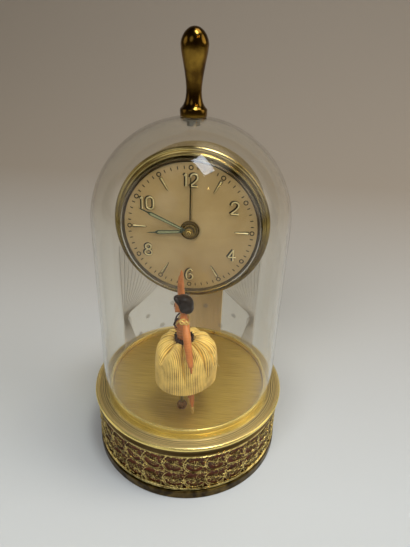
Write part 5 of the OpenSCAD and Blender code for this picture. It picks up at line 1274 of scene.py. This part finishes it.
def ruffle(name, z0, z1, radius, wave, count, thick):
    """A gathered band round the waist from z0 to z1 in mm, its edges in so many waves."""
    piece = new(bpy.ops.mesh.primitive_cylinder_add, vertices=count * 8, radius=radius * mm,
                depth=(z1 - z0) * mm, end_fill_type="NOTHING", location=(0, 0, (z0 + z1) / 2 * mm))
    piece.name = name
    bpy.ops.object.transform_apply()
    edit()
    bpy.ops.mesh.subdivide(number_cuts=4)
    bpy.ops.mesh.remove_doubles(threshold=0.000002)
    leave()
    for point in piece.data.vertices:
        a = math.atan2(point.co.y, point.co.x)
        h = (point.co.z / mm - z0) / (z1 - z0)
        edge = abs(h - 0.5) * 2
        r = radius + wave * (0.25 + edge) * math.sin(count * a + 0.6 * math.sin(3 * a)) + 0.25 * edge
        point.co.x, point.co.y = r * mm * math.cos(a), r * mm * math.sin(a)
        point.co.z += wave * 0.3 * edge * math.sin(count * a + 1.3) * mm
    worked(piece, "SOLIDIFY", thickness=thick * mm)
    bpy.ops.object.shade_smooth()
    piece.data.transform(waist @ Matrix.Translation((0.8 * mm, 0, 0)))
    return piece


def make_dress():
    """Waistband, bodice, shoulder straps, dark lines along the neckline, and bow."""
    band = ruffle("waist_ruffle", -1.5, 1.5, 4.7, 0.4, 18, 0.25)
    finish_piece(band, dark_ribbon, "dancer", "doll_band", "waistband")
    bodice = moulded("doll_bodice", [
        ((0, 0, 2.6), (3.35, 3.65, 1.8)), ((0, 0, 4.6), (3.35, 3.85, 2.2)),
        ((-0.1, 0, 6.6), (3.45, 4.2, 2.0)),
        ((-2.2, -1.85, 7.3), (2.05, 2.05, 1.75)), ((-2.2, 1.85, 7.3), (2.05, 2.05, 1.75))], 0.2, 3)
    finish_piece(bodice, bodice_cloth, "dancer", "doll_cloth", "bodice")
    straps = []
    for side in (-1, 1):
        straps.append(smooth_line([
            (-3.6, side * 2.1, 8.2), (-2.4, side * 2.9, 10.8), (-0.6, side * 3.4, 13.1),
            (1.4, side * 3.2, 13.2), (2.8, side * 2.7, 11.0), (3.0, side * 2.2, 8.0)]))
    finish_piece(on_doll(drawn_wire("shoulder_straps", straps, 0.36)), ribbon, "dancer", "doll_cloth")
    # Dark lines along the bodice's neckline and up the chest, and a small yellow bow on the near shoulder
    lines = [smooth_line([
        (-2.6, -4.1, 8.6), (-4.2, -2.4, 9.2), (-4.3, -0.9, 8.2), (-4.3, 0.9, 8.2), (-4.2, 2.4, 9.2),
        (-2.6, 4.1, 8.6)])]
    for side in (-1, 1):
        lines.append(smooth_line([
            (-4.3, side * 2.2, 9.0), (-3.5, side * 2.6, 11.4), (-2.1, side * 2.6, 13.2)]))
    finish_piece(on_doll(drawn_wire("bodice_dark_lines", lines, 0.42)), dark_ribbon, "dancer", "doll_cloth")
    loops = []
    for side, tilt in ((-1, 0.5), (1, 0.2)):
        loops.append(smooth_line([
            (1.6, -6.2, 13.1), (1.6 + side * 1.2, -6.5, 13.9 + tilt), (1.6 + side * 2.1, -6.5, 13.3 + tilt),
            (1.6 + side * 1.3, -6.6, 12.6), (1.6, -6.3, 12.9)], 5))
    bow = drawn_wire("shoulder_bow", loops, 0.42)
    knot = smoothed(bead((1.6, -6.5, 13.0), (0.65, 0.5, 0.6), 2), 60)
    finish_piece(on_doll(joined("shoulder_bow", [bow, knot])), ribbon, "dancer", "doll_cloth")


make_doll()
make_skirt()
make_dress()


# Ornament printed on the film: two plain curtains, tied back at the sides

film_r = 49.0
film_foot = 40.1
film_middle = math.radians(90 + 8)
print_top = 80.5


def on_film(s, h):
    """A place on the film's inner face: s mm along it from its middle, h mm over its foot."""
    a = film_middle - s / film_r
    return (film_r * math.cos(a), film_r * math.sin(a), film_foot + h)


def curtain_line(side, share):
    """A pleat from top edge to tie and on to the hem. share is 0 at the outer edge and 1 at the inner."""
    outer = [(53.4, print_top), (53.5, 66), (53.5, 52), (53.4, 40), (53.0, 29.5), (53.4, 17), (53.6, 2.5)]
    inner = [(9.0, print_top), (13.0, 60), (24.0, 41.5), (37.5, 33.0), (48.5, 28.5), (45.5, 17), (41.0, 2.5)]
    return [(side * (a + (c - a) * share), b + (d - b) * share, 0) for (a, b), (c, d) in zip(outer, inner)]


def film_line(places, steps=6):
    """A smooth line drawn on the film, through places (s, h, 0)."""
    return [on_film(p.x, p.y) for p in smooth_line(places, steps)]


def make_curtain():
    """Pleats, ties, pelmet and small flowers in grey lines, and the curtains' cloth in thin white."""
    folds = []
    for side in (-1, 1):
        for k in range(13):
            folds.append(film_line(curtain_line(side, (k / 12) ** 0.9)))
        # Tie of three strands and two hanging ends
        for k in range(3):
            h = 27.0 + 1.4 * k
            folds.append(film_line([
                (side * 53.6, h + 1.6, 0), (side * 50.5, h, 0), (side * 47.4, h + 0.6, 0)]))
        for k in (0, 1):
            s = 47.6 - 1.5 * k
            folds.append(film_line([
                (side * 48.2, 28, 0), (side * s, 24, 0), (side * (s + 0.5), 20.5 - 2 * k, 0)]))
        # Pelmet: three hanging arcs along the top
        for k in range(3):
            s = 50.5 - 15 * k
            for drop in (4.5, 6.0):
                folds.append(film_line([
                    (side * s, print_top, 0), (side * (s - 7.5), print_top - drop, 0),
                    (side * (s - 15), print_top, 0)], 8))
    finish_piece(drawn_wire("curtain_folds", folds, 0.17, sides=0), print_grey, "base", "film")
    # Small flowers strewn between the curtains
    petals = []
    for s, h in ((-31, 20), (34, 22), (-20, 9), (24, 10), (-38, 8), (12, 24), (-12, 26)):
        for k in range(5):
            a = 2 * math.pi * k / 5
            petal = ring_line(s + 1.1 * math.cos(a), h + 1.1 * math.sin(a), 0.62, 10)
            petals.append([on_film(x, y) for x, y, _ in petal])
    flowers = drawn_wire("curtain_flowers", petals, 0.14, closed=True, sides=0)
    finish_piece(flowers, print_grey, "base", "film")
    # Cloth of the curtains, printed milkier than the film
    sheets = []
    for side in (-1, 1):
        pleats = [smooth_line(curtain_line(side, k / 8)) for k in range(9)]
        rows, columns = len(pleats[0]), len(pleats)
        sheet = new(bpy.ops.mesh.primitive_grid_add, x_subdivisions=columns - 1,
                    y_subdivisions=rows - 1, size=2 * mm)
        for point in sheet.data.vertices:
            column = round((point.co.x / mm + 1) / 2 * (columns - 1))
            row = round((1 - point.co.y / mm) / 2 * (rows - 1))
            p = pleats[column][row]
            point.co = Vector(on_film(p.x, p.y)) * mm
        sheets.append(sheet)
    cloth = joined("curtain_print", sheets)
    worked(cloth, "SOLIDIFY", thickness=0.05 * mm)
    bpy.ops.object.shade_smooth()
    finish_piece(cloth, print_white, "base", "film")


make_curtain()


# Dome with its knob

def make_dome():
    """A straight wall under a half ball, with a rounded lip and a hole for the knob's screw."""
    low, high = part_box("dome")
    r, foot, top = high.x / mm, low.z / mm, high.z / mm
    wall, hole, straight = 1.4, 1.7, foot + 0.5
    outer = [(r, straight)] + arc(0, top - r, r, 0, 88, 28) + [(hole, top)]
    inner = [(hole, top - wall)] + arc(0, top - r, r - wall, 88, 0, 28) + [(r - wall, straight)]
    lip = arc(r - wall / 2, foot + wall / 2, wall / 2, 180, 360, 6)
    piece = turned("clear_dome", outer + inner + lip + [(r, straight)], 160)
    return finish_piece(piece, dome_clear, "dome", "clear_dome", "dome")


def make_knob():
    """A turned pear: a round head over a waist, and a flange that sits on the dome."""
    z0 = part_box("dome")[1].z / mm
    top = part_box("dome_knob")[1].z / mm
    head_r, head_h = 6.5, 8.2
    profile = [
        (0, z0 - 0.05), (6.1, z0 - 0.4), (6.45, z0 - 0.2), (6.5, z0 + 0.3), (6.5, z0 + 2.9),
        (6.3, z0 + 3.3), (5.9, z0 + 3.6), (5.0, z0 + 4.7), (4.3, z0 + 6.2), (3.85, z0 + 8.2),
        (3.65, z0 + 10.4), (3.7, z0 + 12.8), (4.0, z0 + 15.6), (4.45, z0 + 18.6), (5.0, z0 + 21.6),
        (5.6, z0 + 24.6), (6.1, z0 + 27.2),
    ]
    for a in map(math.radians, range(8, 90, 6)):
        profile.append((head_r * math.cos(a), top - head_h + head_h * math.sin(a)))
    profile.append((0, top))
    piece = turned("pear_knob", profile, 96, 60)
    return finish_piece(piece, old_gilt, "dome", "gilt_brass", "dome_knob")


make_dome()
make_knob()
